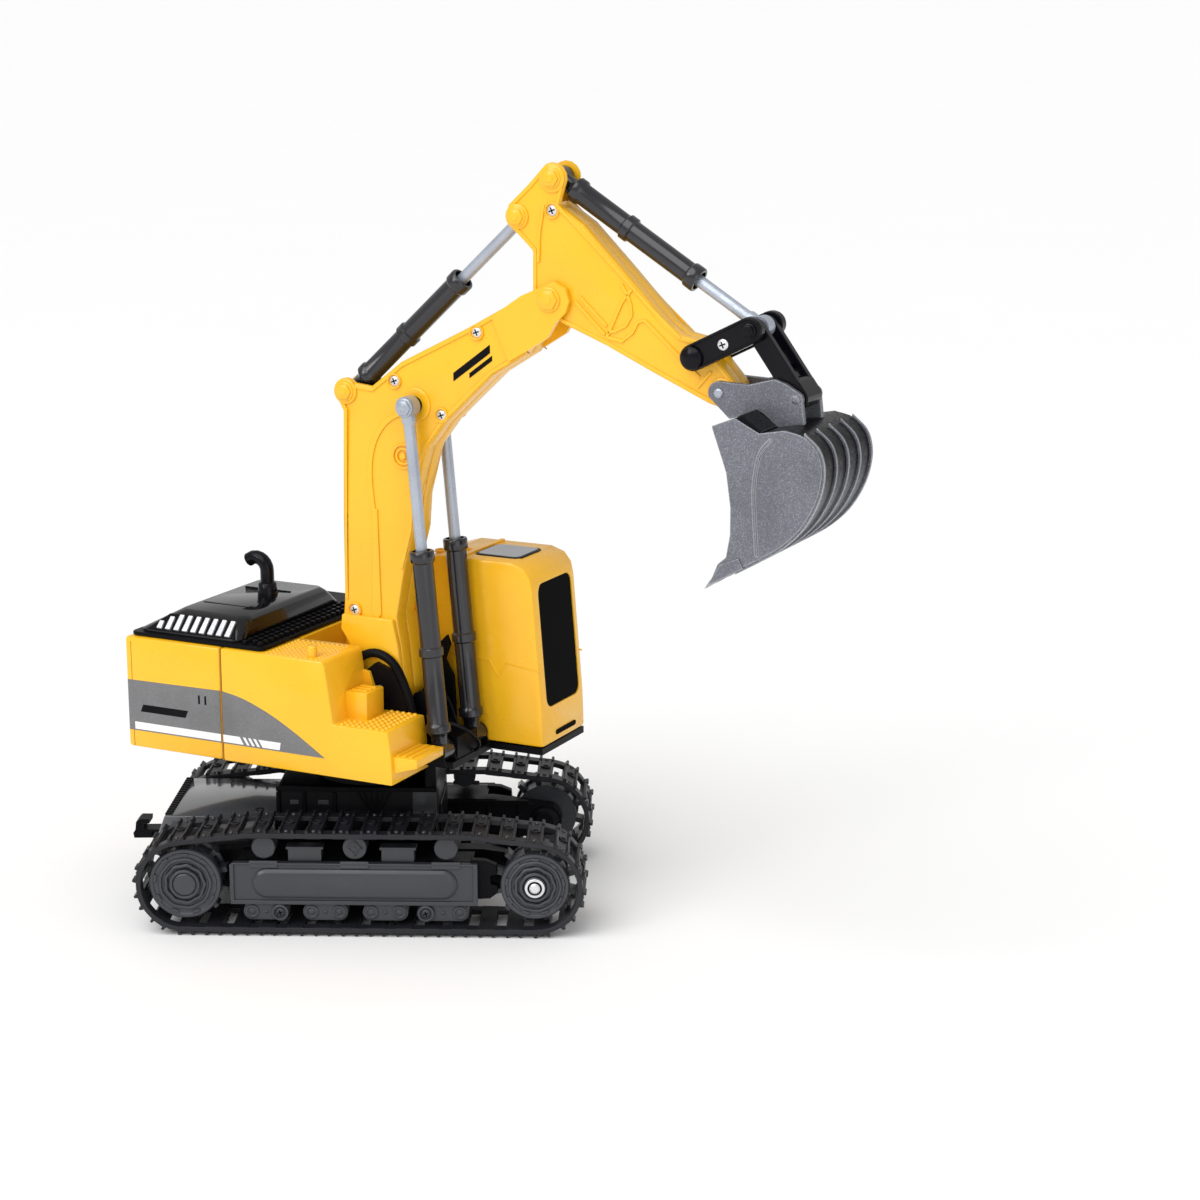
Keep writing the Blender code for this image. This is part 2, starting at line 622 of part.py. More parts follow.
def headed_pin(name, frame, point, half_length, head_radius=3.4, head=1.4, look="steel"):
    """A pin across the boom's mid-plane with a head on each end."""
    profile = [
        (0.0, half_length + head), (head_radius, half_length + head), (head_radius, half_length),
        (PIN_RADIUS, half_length), (PIN_RADIUS, -half_length), (head_radius, -half_length),
        (head_radius, -half_length - head), (0.0, -half_length - head)]
    at = (point[0], BOOM_Y, point[1])
    return turned(name, frame, profile, at, look, direction=(0.0, 1.0, 0.0), steps=8)


def drill(item, frame, point, radius=PIN_RADIUS + PIN_CLEARANCE):
    hole = cylinder(item.name + "_hole_%d" % len(item.modifiers), frame, radius,
                    (point[0], BOOM_Y - 30.0, point[1]), 60.0, steps=8)
    cut(item, hole)


def boom_outline():
    """The main body of the boom, ending in a hollow arc that leaves room for the arm's round heel."""
    points = arc(BOOM_PIVOT, 9.5, 190, 380, 8)
    points += [(24.5, 116.0), (22.5, 128.2), (26.6, 149.1), (31.3, 165.8), (32.4, 179.7), (36.6, 195.2)]
    points += [(38.5, 201.2), (46.8, 212.1), (54.9, 219.8), (69.2, 233.2), (84.0, 242.4)]
    points += arc(ARM_PIVOT, 17.0, 242, 187, 4)
    points += [(58.9, 252.2), (26.6, 235.9), (12.5, 225.0)]
    points += arc(STICK_FOOT, 5.6, 40, 190, 6)
    points += [(-0.9, 214.0), (-2.1, 170.9), (-2.8, 133.8), (-3.9, 121.2), (4.5, 108.5)]
    return points


def build_boom(boom):
    outline = boom_outline()
    foot = arc(BOOM_PIVOT, 9.5, 190, 380, 8)
    foot += [(24.5, 116.0), (22.0, 127.8), (-3.2, 127.8), (-3.9, 121.2), (4.5, 108.5)]
    tip = [(70.0, 257.2), (83.3, 266.2), (97.8, 272.6), (103.0, 270.0), (104.6, 265.1), (103.0, 260.5)]
    tip += [(99.0, 256.5), (95.1, 250.2), (86.2, 244.6), (77.5, 239.6)]
    for side, name in ((-1, "right"), (1, "left")):
        middle = across(side, 0.15, BOOM_HALF_WIDTH)
        low, high = BOOM_Y + middle[0], BOOM_Y + middle[1]
        shell = plate(name + "_boom_shell", boom, [outline], low, high, "yellow", bevel=0.7)
        flare = across(side, BOOM_HALF_WIDTH - 0.8, FOOT_HALF_WIDTH)
        cheek = across(side, TIP_CHEEK_INNER, TIP_CHEEK_OUTER)
        join(shell, plate(name + "_foot_flare", boom, [inset(foot, 0.3)], BOOM_Y + flare[0], BOOM_Y +
        flare[1], bevel=0.7))
        join(shell, plate(name + "_tip_cheek", boom, [tip], BOOM_Y + cheek[0], BOOM_Y + cheek[1]))
        cavity = across(side, -1.0, BOOM_HALF_WIDTH - 1.8)
        hollow = plate(
            name + "_boom_hollow", boom, [inset(outline, 2.2)], BOOM_Y + cavity[0], BOOM_Y + cavity[1])
        cut(shell, hollow)
        boss = across(side, 0.15, BOOM_HALF_WIDTH - 1.0)
        for mark, point in (("eye", LIFT_EYE), ("foot", BOOM_PIVOT)):
            round_boss = cylinder(
                name + "_boss_" + mark, boom, 4.2, (point[0], BOOM_Y + boss[0], point[1]), boss[1] - boss[0],
                steps=10)
            join(shell, round_boss)
        slot_y = across(side, -1.0, COLLAR_RADIUS + 0.3)
        slot = cylinder(
            name + "_stick_slot", boom, 13.3, (STICK_FOOT[0], BOOM_Y + slot_y[0], STICK_FOOT[1]),
            slot_y[1] - slot_y[0], steps=24)
        cut(shell, slot)
        for point in (BOOM_PIVOT, LIFT_EYE, ARM_PIVOT, STICK_FOOT):
            drill(shell, boom, point)
    headed_pin("arm_pivot_pin", boom, ARM_PIVOT, TIP_CHEEK_OUTER + 0.3, 3.8, 1.6, "yellow")
    headed_pin("stick_foot_pin", boom, STICK_FOOT, BOOM_HALF_WIDTH + 0.3, 3.4, 1.4, "yellow")
    headed_pin("lift_eye_pin", boom, LIFT_EYE, LIFT_OFFSET_Y + 2.9, 3.2, 1.6, "silver")


def arm_outline():
    points = [(76.5, 301.5), (75.4, 297.0), (77.5, 292.5), (80.8, 290.0), (87.3, 283.8), (87.2, 277.9)]
    points += arc(ARM_PIVOT, 8.8, 165, 285, 6)
    points += [(119.6, 248.3), (138.3, 239.7), (163.5, 228.6)]
    points += arc(BUCKET_PIVOT, 6.4, 245, 395, 6)
    points += [(166.3, 246.7), (162.2, 252.2), (151.7, 254.2), (145.3, 258.9), (127.5, 277.3), (109.6, 295.1)]
    points += [(99.3, 301.8)]
    points += arc(CURL_FOOT, 6.2, -30, 120, 6)
    points += [(85.2, 309.6)]
    return points


def build_arm(arm):
    outline = arm_outline()
    for side, name in ((-1, "right"), (1, "left")):
        half = across(side, 0.15, ARM_HALF_WIDTH)
        shell = plate(
            name + "_arm_shell", arm, [outline], BOOM_Y + half[0], BOOM_Y + half[1], "yellow", bevel=0.7)
        cavity = across(side, -1.0, ARM_HALF_WIDTH - 1.8)
        cut(shell, plate(
            name + "_arm_hollow", arm, [inset(outline, 2.2)], BOOM_Y + cavity[0], BOOM_Y + cavity[1]))
        for mark, point in (("pivot", ARM_PIVOT), ("bucket", BUCKET_PIVOT), ("rocker", ROCKER_PIVOT)):
            boss = across(side, 0.15, ARM_HALF_WIDTH - 1.0)
            round_boss = cylinder(
                name + "_arm_boss_" + mark, arm, 3.8, (point[0], BOOM_Y + boss[0], point[1]), boss[1] -
                boss[0],
                steps=10)
            join(shell, round_boss)
        for mark, point, radius, half_slot in (
                ("curl", CURL_FOOT, 9.8, COLLAR_RADIUS + 0.3), ("stick", STICK_EYE, 7.0, 3.6)):
            slot_y = across(side, -1.0, half_slot)
            slot = cylinder(
                name + "_slot_" + mark, arm, radius, (point[0], BOOM_Y + slot_y[0], point[1]),
                slot_y[1] - slot_y[0], steps=20)
            cut(shell, slot)
        for point in (ARM_PIVOT, STICK_EYE, CURL_FOOT, ROCKER_PIVOT, BUCKET_PIVOT):
            drill(shell, arm, point)
    headed_pin("stick_eye_pin", arm, STICK_EYE, ARM_HALF_WIDTH + 0.3, 3.4, 1.4, "yellow")
    headed_pin("curl_foot_pin", arm, CURL_FOOT, ARM_HALF_WIDTH + 0.3, 3.4, 1.4, "yellow")
    pin("rocker_pin", arm, ROCKER_PIVOT, BOOM_Y - 12.0, BOOM_Y + 12.0)
    headed_pin("bucket_pin", arm, BUCKET_PIVOT, EAR_OUTER + 0.3, 3.0, 1.2, "silver")


# ---------------------------------------------------------------- cylinders


def barrel(name, frame, foot, eye, y, length, half_width):
    """A cylinder body: an eye round its foot pin, then a collared tube that is open at the rod's end."""
    reach = Vector((eye[0] - foot[0], 0.0, eye[1] - foot[1])).normalized()
    middle = length * 0.5
    profile = [
        (COLLAR_RADIUS, length), (COLLAR_RADIUS, length - 3.5), (BARREL_RADIUS, length - 4.0),
        (BARREL_RADIUS, middle + 2.0), (COLLAR_RADIUS, middle + 1.5), (COLLAR_RADIUS, middle - 1.5),
        (BARREL_RADIUS, middle - 2.0), (BARREL_RADIUS, 12.0), (COLLAR_RADIUS, 11.5), (COLLAR_RADIUS, 8.0),
        (3.2, 6.0), (3.2, 3.0), (0.0, 3.0), (0.0, 14.0), (BORE_RADIUS, 14.0), (BORE_RADIUS, length)]
    at = (foot[0], y, foot[1])
    tube = turned(name, frame, profile, at, "black", direction=reach, steps=12, ring=True)
    knuckle = cylinder(name + "_knuckle", frame, EYE_RADIUS, (foot[0], y - half_width, foot[1]), 2 *
    half_width,
                       steps=12)
    hole = cylinder(name + "_eye_hole", frame, PIN_RADIUS + PIN_CLEARANCE, (foot[0], y - 12.0, foot[1]), 24.0,
                    steps=8)
    join(tube, knuckle)
    cut(tube, hole)
    return tube


def piston_rod(name, frame, foot, eye, y, start, half_width):
    """A rod that ends in an eye round its pin; start is how far from the foot its inner end lies."""
    reach = Vector((foot[0] - eye[0], 0.0, foot[1] - eye[1]))
    length = reach.length - start
    rod = cylinder(name, frame, ROD_RADIUS, (eye[0], y, eye[1]), length, "silver", direction=reach, steps=12)
    knuckle = cylinder(name + "_knuckle", frame, EYE_RADIUS, (eye[0], y - half_width, eye[1]), 2 * half_width,
                       steps=12)
    hole = cylinder(name + "_eye_hole", frame, PIN_RADIUS + PIN_CLEARANCE, (eye[0], y - 12.0, eye[1]), 24.0,
                    steps=8)
    join(rod, knuckle)
    cut(rod, hole)
    return rod


def build_lift_cylinders(house, boom):
    for side, name in ((-1, "right"), (1, "left")):
        y = BOOM_Y + side * LIFT_OFFSET_Y
        foot = pivot_frame(name + "_lift_foot_axis", LIFT_FOOT, house, y)
        eye = pivot_frame(name + "_lift_eye_axis", LIFT_EYE, boom, y)
        barrel(name + "_lift_barrel", foot, LIFT_FOOT, LIFT_EYE, y, 85.0, 4.0)
        piston_rod(name + "_lift_rod", eye, LIFT_FOOT, LIFT_EYE, y, 34.0, 2.6)


def build_bucket_linkage(arm, boom):
    stick_foot = pivot_frame("stick_foot_axis", STICK_FOOT, boom, BOOM_Y)
    stick_eye = pivot_frame("stick_eye_axis", STICK_EYE, arm, BOOM_Y)
    barrel("stick_barrel", stick_foot, STICK_FOOT, STICK_EYE, BOOM_Y, 71.0, 4.0)
    piston_rod("stick_rod", stick_eye, STICK_FOOT, STICK_EYE, BOOM_Y, 27.0, 3.2)

    rocker = pivot_frame("rocker_axis", ROCKER_PIVOT, arm, BOOM_Y)
    curl_foot = pivot_frame("curl_foot_axis", CURL_FOOT, arm, BOOM_Y)
    curl_eye = pivot_frame("curl_eye_axis", LINK_PIVOT, rocker, BOOM_Y)
    barrel("curl_barrel", curl_foot, CURL_FOOT, LINK_PIVOT, BOOM_Y, 71.0, 4.0)
    piston_rod("curl_rod", curl_eye, CURL_FOOT, LINK_PIVOT, BOOM_Y, 30.0, 3.2)

    for side, name in ((-1, "right"), (1, "left")):
        link_y = across(side, 8.6, 12.4)
        link = plate(
            name + "_rocker_link", rocker, [stadium(ROCKER_PIVOT, LINK_PIVOT, 5.2)], BOOM_Y + link_y[0],
            BOOM_Y + link_y[1], "black", bevel=0.8)
        for point in (ROCKER_PIVOT, LINK_PIVOT):
            drill(link, rocker, point)
    headed_pin("link_pin", rocker, LINK_PIVOT, 12.7, 3.6, 1.6, "silver")

    push_frame = pivot_frame("push_link_axis", LINK_PIVOT, rocker, BOOM_Y)
    rail = stadium(LINK_PIVOT, BUCKET_LINK_PIVOT, 3.9)
    push = plate("push_link", push_frame, [rail], BOOM_Y - 7.6, BOOM_Y - 4.2, "black")
    join(push, plate("push_link_rail", push_frame, [rail], BOOM_Y + 4.2, BOOM_Y + 7.6))
    along = Vector(BUCKET_LINK_PIVOT) - Vector(LINK_PIVOT)
    web_start = Vector(LINK_PIVOT) + along * 0.42
    web_end = Vector(LINK_PIVOT) + along * 0.8
    web = stadium(web_start, web_end, 2.2, 4)
    join(push, plate("push_link_web", push_frame, [web], BOOM_Y - 5.5, BOOM_Y + 5.5))
    for point in (LINK_PIVOT, BUCKET_LINK_PIVOT):
        drill(push, push_frame, point, PIN_RADIUS + (0.35 if point == LINK_PIVOT else 1.3))


def build_bucket(bucket):
    back = [(183.0, 227.2), (193.0, 222.0), (203.3, 223.9), (211.0, 222.0), (216.5, 217.0), (218.6, 210.0)]
    back += [(217.8, 202.0), (214.8, 194.0), (209.5, 185.8), (202.0, 178.8), (193.5, 173.4), (172.8, 161.3)]
    front = [(176.5, 170.0), (179.9, 173.0), (181.5, 182.0), (181.5, 192.7), (179.6, 206.0), (175.5, 217.5)]
    outline = back + front + [(173.4, 223.3)]
    low, high = BOOM_Y - BUCKET_HALF_WIDTH, BOOM_Y + BUCKET_HALF_WIDTH
    shell = plate("bucket", bucket, [outline], low, high, "bucket_grey", bevel=0.5)
    inner = inset(back, BUCKET_WALL)[1:-1]
    room = [(184.5, 221.5)] + inner + [(183.0, 170.5), (168.0, 166.0), (160.0, 190.0), (160.0, 216.0)]
    cut(shell, plate("bucket_room", bucket, [room], low + BUCKET_WALL, high - BUCKET_WALL))
    ear = [(166.3, 227.5)] + arc(BUCKET_PIVOT, 5.4, 200, 90, 4) + [(181.8, 238.6), (193.2, 240.3)]
    ear += arc(BUCKET_LINK_PIVOT, 5.2, 100, -30, 5) + [(205.5, 222.8), (195.0, 220.6), (183.0, 226.2),
    (173.0, 221.8)]
    for side, name in ((-1, "right"), (1, "left")):
        span = across(side, EAR_INNER, EAR_OUTER)
        join(shell, plate(name + "_ear", bucket, [ear], BOOM_Y + span[0], BOOM_Y + span[1]))
    drill(shell, bucket, BUCKET_PIVOT)
    join(shell, pin("bucket_link_bar", bucket, BUCKET_LINK_PIVOT, BOOM_Y - 9.0, BOOM_Y + 9.0, None))


def build():
    chassis = base_frame("chassis_axis", (*SWING_AXIS, 0.0), 0.0)
    build_chassis(chassis)
    build_track(chassis, -1, "right")
    build_track(chassis, 1, "left")
    house = base_frame("house_axis", (0.0, 0.0, 0.0), HOUSE_YAW, chassis["empty"])
    build_house(house)
    boom = pivot_frame("boom_axis", BOOM_PIVOT, house, BOOM_Y)
    arm = pivot_frame("arm_axis", ARM_PIVOT, boom, BOOM_Y)
    bucket = pivot_frame("bucket_axis", BUCKET_PIVOT, arm, BOOM_Y)
    build_boom(boom)
    build_arm(arm)
    build_lift_cylinders(house, boom)
    build_bucket_linkage(arm, boom)
    build_bucket(bucket)


build()
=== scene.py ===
"""Looks for the toy excavator: glossy yellow shells, black running gear, detailed shoes, bucket and trim.

Shapes are written in millimetres in the chassis frame or the house frame, which share the swing axis; both
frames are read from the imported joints.
"""

import json
import math

import bmesh
import bpy
from mathutils import Matrix, Vector


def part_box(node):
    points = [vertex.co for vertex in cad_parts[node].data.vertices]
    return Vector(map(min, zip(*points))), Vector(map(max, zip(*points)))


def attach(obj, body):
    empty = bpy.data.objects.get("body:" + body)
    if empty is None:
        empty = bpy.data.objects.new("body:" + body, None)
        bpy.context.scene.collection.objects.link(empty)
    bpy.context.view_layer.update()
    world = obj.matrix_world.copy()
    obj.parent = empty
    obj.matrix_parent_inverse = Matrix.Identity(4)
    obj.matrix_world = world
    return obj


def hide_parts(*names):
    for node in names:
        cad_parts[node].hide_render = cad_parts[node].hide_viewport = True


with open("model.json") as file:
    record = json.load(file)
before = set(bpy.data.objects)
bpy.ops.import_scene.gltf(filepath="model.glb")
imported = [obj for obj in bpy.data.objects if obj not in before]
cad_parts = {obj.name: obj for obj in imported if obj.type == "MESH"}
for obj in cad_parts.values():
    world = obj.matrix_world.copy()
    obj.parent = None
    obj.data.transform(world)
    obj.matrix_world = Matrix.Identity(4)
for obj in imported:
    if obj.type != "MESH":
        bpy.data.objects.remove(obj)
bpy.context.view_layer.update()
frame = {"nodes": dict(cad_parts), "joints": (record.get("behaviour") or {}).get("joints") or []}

MM = 0.001
JOINTS = {joint["name"]: joint for joint in frame["joints"]}
NODES = frame["nodes"]
SIDES = ((-1, "right"), (1, "left"))

SWING = Vector(JOINTS["house_swing"]["pos_m"])
HOUSE_LEFT = -Vector(JOINTS["boom_lift"]["axis"])
HOUSE_AHEAD = HOUSE_LEFT.cross(Vector((0, 0, 1)))


def frame_matrix(ahead, left):
    """Millimetres in a frame on the swing axis to metres in the row's frame."""
    columns = Matrix((ahead, left, Vector((0, 0, 1)))).transposed().to_4x4()
    return Matrix.Translation((SWING.x, SWING.y, 0)) @ columns @ Matrix.Scale(MM, 4)


CHASSIS = frame_matrix(Vector((1, 0, 0)), Vector((0, 1, 0)))
HOUSE = frame_matrix(HOUSE_AHEAD, HOUSE_LEFT)


def joint_point(name, where=HOUSE):
    """A joint's place in millimetres in the house frame, or in another."""
    return where.inverted() @ Vector(JOINTS[name]["pos_m"])


BOOM_PIVOT = joint_point("boom_lift")
ARM_PIVOT = joint_point("arm_swing")
LIFT_FOOT = joint_point("right_lift_barrel_tilt")
LIFT_EYE = joint_point("right_lift_rod_tilt")
STICK_FOOT = joint_point("stick_barrel_tilt")
STICK_EYE = joint_point("stick_rod_tilt")
CURL_FOOT = joint_point("curl_barrel_tilt")
LINK_PIVOT = joint_point("push_link_turn")
ROCKER_PIVOT = joint_point("rocker_turn")
BUCKET_PIVOT = joint_point("bucket_curl")
IDLER_HUB = joint_point("right_idler_spin", CHASSIS)
BOOM_Y = BOOM_PIVOT.y
LIFT_OFFSET = BOOM_Y - LIFT_FOOT.y


# ---------------------------------------------------------------- materials


class Look:
    """A node material built round one Principled shader."""

    def __init__(self, name, colour, roughness, metallic=0, coat=0):
        self.material = bpy.data.materials.new(name)
        self.material.use_nodes = True
        self.tree = self.material.node_tree
        self.shader = self.tree.nodes["Principled BSDF"]
        self.colour = (*colour, 1)
        for socket, value in (("Base Color", self.colour), ("Roughness", roughness), ("Metallic", metallic),
                              ("Coat Weight", coat), ("Coat Roughness", 0.08)):
            self.shader.inputs[socket].default_value = value
        self.place = self.tree.nodes.new("ShaderNodeTexCoord").outputs["Object"]
        self.colour_out = None

    def node(self, kind, **settings):
        made = self.tree.nodes.new("ShaderNode" + kind)
        for key, value in settings.items():
            if key in made.inputs:
                made.inputs[key].default_value = value
            else:
                setattr(made, key, value)
        return made

    def link(self, output, node, socket):
        self.tree.links.new(output, node.inputs[socket])

    def noise(self, scale, detail=3):
        made = self.node("TexNoise", Scale=scale, Detail=detail)
        self.link(self.place, made, "Vector")
        return made.outputs["Fac"]

    def band(self, factor, low, high, to_low=0, to_high=1):
        made = self.node("MapRange", **{"From Min": low, "From Max": high, "To Min": to_low, "To Max": to_high})
        self.link(factor, made, "Value")
        return made.outputs["Result"]

    def tint(self, factor, other):
        """Mixes another colour over what is there, by a factor."""
        made = self.node("Mix", data_type="RGBA")
        self.link(factor, made, "Factor")
        if self.colour_out is None:
            made.inputs[6].default_value = self.colour
        else:
            self.tree.links.new(self.colour_out, made.inputs[6])
        made.inputs[7].default_value = (*other, 1)
        self.colour_out = made.outputs[2]
        self.link(self.colour_out, self.shader, "Base Color")

    def rough(self, factor, low, high):
        self.link(self.band(factor, 0.3, 0.7, low, high), self.shader, "Roughness")

    def bump(self, factor, strength, distance=0.0001):
        made = self.node("Bump", Strength=strength, Distance=distance)
        self.link(factor, made, "Height")
        if self.shader.inputs["Normal"].is_linked:
            before = self.shader.inputs["Normal"].links[0].from_socket
            self.tree.links.new(before, made.inputs["Normal"])
        self.link(made.outputs["Normal"], self.shader, "Normal")

    def painted_edge_highlight(self, radius, colour, low=0.02, high=0.25):
        """A lighter colour where the surface turns sharply: a painted edge highlight."""
        rounded = self.node("Bevel", Radius=radius, samples=4)
        flat = self.node("NewGeometry")
        dot = self.node("VectorMath", operation="DOT_PRODUCT")
        self.link(rounded.outputs["Normal"], dot, 0)
        self.link(flat.outputs["Normal"], dot, 1)
        self.tint(self.band(dot.outputs["Value"], 1 - low, 1 - high), colour)


def moulded(name, colour, roughness, dark, coat=0, grain=0.06, shine=0.5):
    """Injection-moulded plastic: slow colour drift, handled patches and a fine mould texture."""
    look = Look(name, colour, roughness, coat=coat)
    look.shader.inputs["Specular IOR Level"].default_value = shine
    look.tint(look.band(look.noise(28), 0.42, 0.75, 0, 0.55), dark)
    look.rough(look.noise(90, 5), roughness - 0.05, roughness + 0.08)
    look.bump(look.noise(1900, 2), grain)
    look.bump(look.noise(150, 2), 0.05, 0.0002)
    return look


def painted_metallic(name, colour, light, roughness, flake=0.5):
    """Silver-grey paint with metal flake."""
    look = Look(name, colour, roughness, metallic=0.55)
    cells = look.node("TexVoronoi", Scale=3000)
    look.link(look.place, cells, "Vector")
    look.tint(look.band(cells.outputs["Color"], 0.55, 0.95, 0, flake), light)
    look.tint(look.band(look.noise(60), 0.45, 0.75, 0, 0.35), tuple(c * 0.6 for c in colour))
    look.rough(look.noise(700, 4), roughness - 0.1, roughness + 0.12)
    look.bump(look.noise(2200, 3), 0.15)
    return look


YELLOW = moulded("yellow_abs", (0.92, 0.49, 0.012), 0.28, (0.89, 0.43, 0.008), coat=0.15, grain=0.05).material
SEAM = moulded("yellow_abs_joint", (0.42, 0.19, 0.008), 0.5, (0.36, 0.15, 0.006)).material
BLACK = moulded("black_abs", (0.003, 0.003, 0.004), 0.35, (0.006, 0.006, 0.008), grain=0.1, shine=0.08).material
GLOSS_BLACK = moulded("gloss_black_abs", (0.003, 0.003, 0.005), 0.18, (0.006, 0.006, 0.008), grain=0.03,
                      shine=0.16).material
HOOD_BLACK = moulded("hood_black_abs", (0.003, 0.003, 0.004), 0.13, (0.005, 0.005, 0.007), 0.7, 0.03,
                     0.05).material
BARREL_GREY = moulded("cylinder_charcoal", (0.009, 0.009, 0.012), 0.2, (0.014, 0.014, 0.018), 0.3,
                      0.04).material
GREY_BLACK = moulded("charcoal_plastic", (0.032, 0.034, 0.04), 0.32, (0.044, 0.046, 0.053), grain=0.14).material
WHEEL_GREY = moulded("wheel_charcoal", (0.034, 0.036, 0.043), 0.3, (0.05, 0.052, 0.06), grain=0.12).material
# painted reflection: the rear deck is glossy black plastic, given a dark-grey base colour for the white it
# reflects
DECK_BLACK_PAINTED_SHEEN = moulded("deck_black_painted_sheen", (0.07, 0.072, 0.078), 0.2, (0.09, 0.092, 0.098), 1, 0.08).material
BELT = moulded("track_rubber", (0.011, 0.0115, 0.015), 0.4, (0.022, 0.022, 0.026), grain=0.2,
               shine=0.35).material
SILVER = painted_metallic("silver_paint", (0.42, 0.46, 0.53), (0.62, 0.66, 0.72), 0.36, 0.3).material
STEEL = painted_metallic("zinc_screw", (0.7, 0.7, 0.72), (0.88, 0.88, 0.89), 0.26, 0.3).material
DECAL_GREY = painted_metallic("decal_grey", (0.19, 0.19, 0.195), (0.32, 0.32, 0.33), 0.45, 0.45).material
DECAL_WHITE = moulded("decal_white", (0.85, 0.85, 0.85), 0.4, (0.7, 0.7, 0.7)).material
LOUVRE = painted_metallic("louvre_silver", (0.72, 0.73, 0.76), (0.92, 0.92, 0.94), 0.3, 0.3).material
SCREEN = moulded("windscreen_black", (0.0006, 0.0006, 0.0008), 0.1, (0.001, 0.001, 0.001), grain=0.01,
                 shine=0.01).material
ROOF_GLASS = moulded("roof_glass_grey", (0.16, 0.17, 0.2), 0.2, (0.12, 0.13, 0.16), 0.8, 0.03).material
BOARD = moulded("circuit_board_green", (0.015, 0.16, 0.06), 0.45, (0.01, 0.1, 0.04)).material
BATTERY = moulded("battery_wrap_blue", (0.05, 0.12, 0.4), 0.35, (0.03, 0.08, 0.3)).material


def bucket_paint():
    look = painted_metallic("bucket_paint", (0.15, 0.155, 0.18), (0.36, 0.37, 0.41), 0.42, 0.8)
    # painted edge highlight: a lighter colour on the bucket's sharp edges
    look.painted_edge_highlight(0.0007, (0.75, 0.76, 0.79), 0.02, 0.2)
    return look.material


def bucket_back_painted_reflection():
    """The back is glossy black above; the flaked grey it fades to below is a painted reflection of the pale
    floor.
    """
    look = painted_metallic("bucket_back_painted_reflection", (0.14, 0.145, 0.16), (0.28, 0.29, 0.32), 0.34, 0.6)
    split = look.node("SeparateXYZ")
    look.link(look.place, split, "Vector")
    # painted reflection: flaked grey below a level height, glossy black above it
    look.tint(look.band(split.outputs["Z"], 0.188, 0.207), (0.006, 0.006, 0.008))
    look.shader.inputs["Specular IOR Level"].default_value = 0.1
    # painted edge highlight: a lighter colour on the back's sharp edges
    look.painted_edge_highlight(0.0006, (0.5, 0.51, 0.53), 0.05, 0.4)
    return look.material


BUCKET_GREY = bucket_paint()
BUCKET_BACK_PAINTED_REFLECTION = bucket_back_painted_reflection()


# ---------------------------------------------------------------- shapes


def arc(centre, radius, start, end, steps):
    points = []
    for i in range(steps + 1):
        angle = math.radians(start + (end - start) * i / steps)
        points.append((centre[0] + radius * math.cos(angle), centre[1] + radius * math.sin(angle)))
    return points


def rounded_rectangle(low, high, radius, steps=6):
    corners = (
        ((high[0] - radius, high[1] - radius), 0),
        ((low[0] + radius, high[1] - radius), 90),
        ((low[0] + radius, low[1] + radius), 180),
        ((high[0] - radius, low[1] + radius), 270),
    )
    points = []
    for centre, start in corners:
        points += arc(centre, radius, start, start + 90, steps)
    return points


def stadium(start, end, radius, steps=12):
    heading = math.degrees(math.atan2(end[1] - start[1], end[0] - start[0]))
    front = arc(end, radius, heading - 90, heading + 90, steps)
    return front + arc(start, radius, heading + 90, heading + 270, steps)


def inset(points, distance):
    """The outline moved inwards, whichever way round it runs."""
    area = sum(a[0] * b[1] - b[0] * a[1] for a, b in zip(points, points[1:] + points[:1]))
    side = 1 if area > 0 else -1
    moved = []
    for before, here, after in zip(points[-1:] + points[:-1], points, points[1:] + points[:1]):
        into = (Vector(here) - Vector(before)).normalized()
        out = (Vector(after) - Vector(here)).normalized()
        normal = (Vector((-into.y, into.x)) + Vector((-out.y, out.x))).normalized() * side
        stretch = max(normal.dot(Vector((-into.y, into.x)) * side), 0.5)
        moved.append((here[0] + normal.x * distance / stretch, here[1] + normal.y * distance / stretch))
    return moved


def smooth_through(points, steps=4):
    """More points along a smooth open curve through those given."""
    knots = [Vector(p) for p in points]
    knots = [knots[0] * 2 - knots[1]] + knots + [knots[-1] * 2 - knots[-2]]
    curve = []
    for a, b, c, d in zip(knots, knots[1:], knots[2:], knots[3:]):
        for i in range(steps):
            t = i / steps
            point = 2 * b + (c - a) * t + (2 * a - 5 * b + 4 * c - d) * t * t
            curve.append(tuple(0.5 * (point + (3 * b - a - 3 * c + d) * t ** 3)))
    curve.append(tuple(knots[-2]))
    return curve


def ribbon(path, half):
    """The outline of a strip of even width along an open path."""
    edges = ([], [])
    for k, point in enumerate(path):
        heading = (Vector(path[min(k + 1, len(path) - 1)]) - Vector(path[max(k - 1, 0)])).normalized()
        for edge, reach in zip(edges, (half, -half)):
            edge.append((point[0] - heading.y * reach, point[1] + heading.x * reach))
    return edges[0] + edges[1][::-1]


def xz(point):
    return (point.x, point.z)


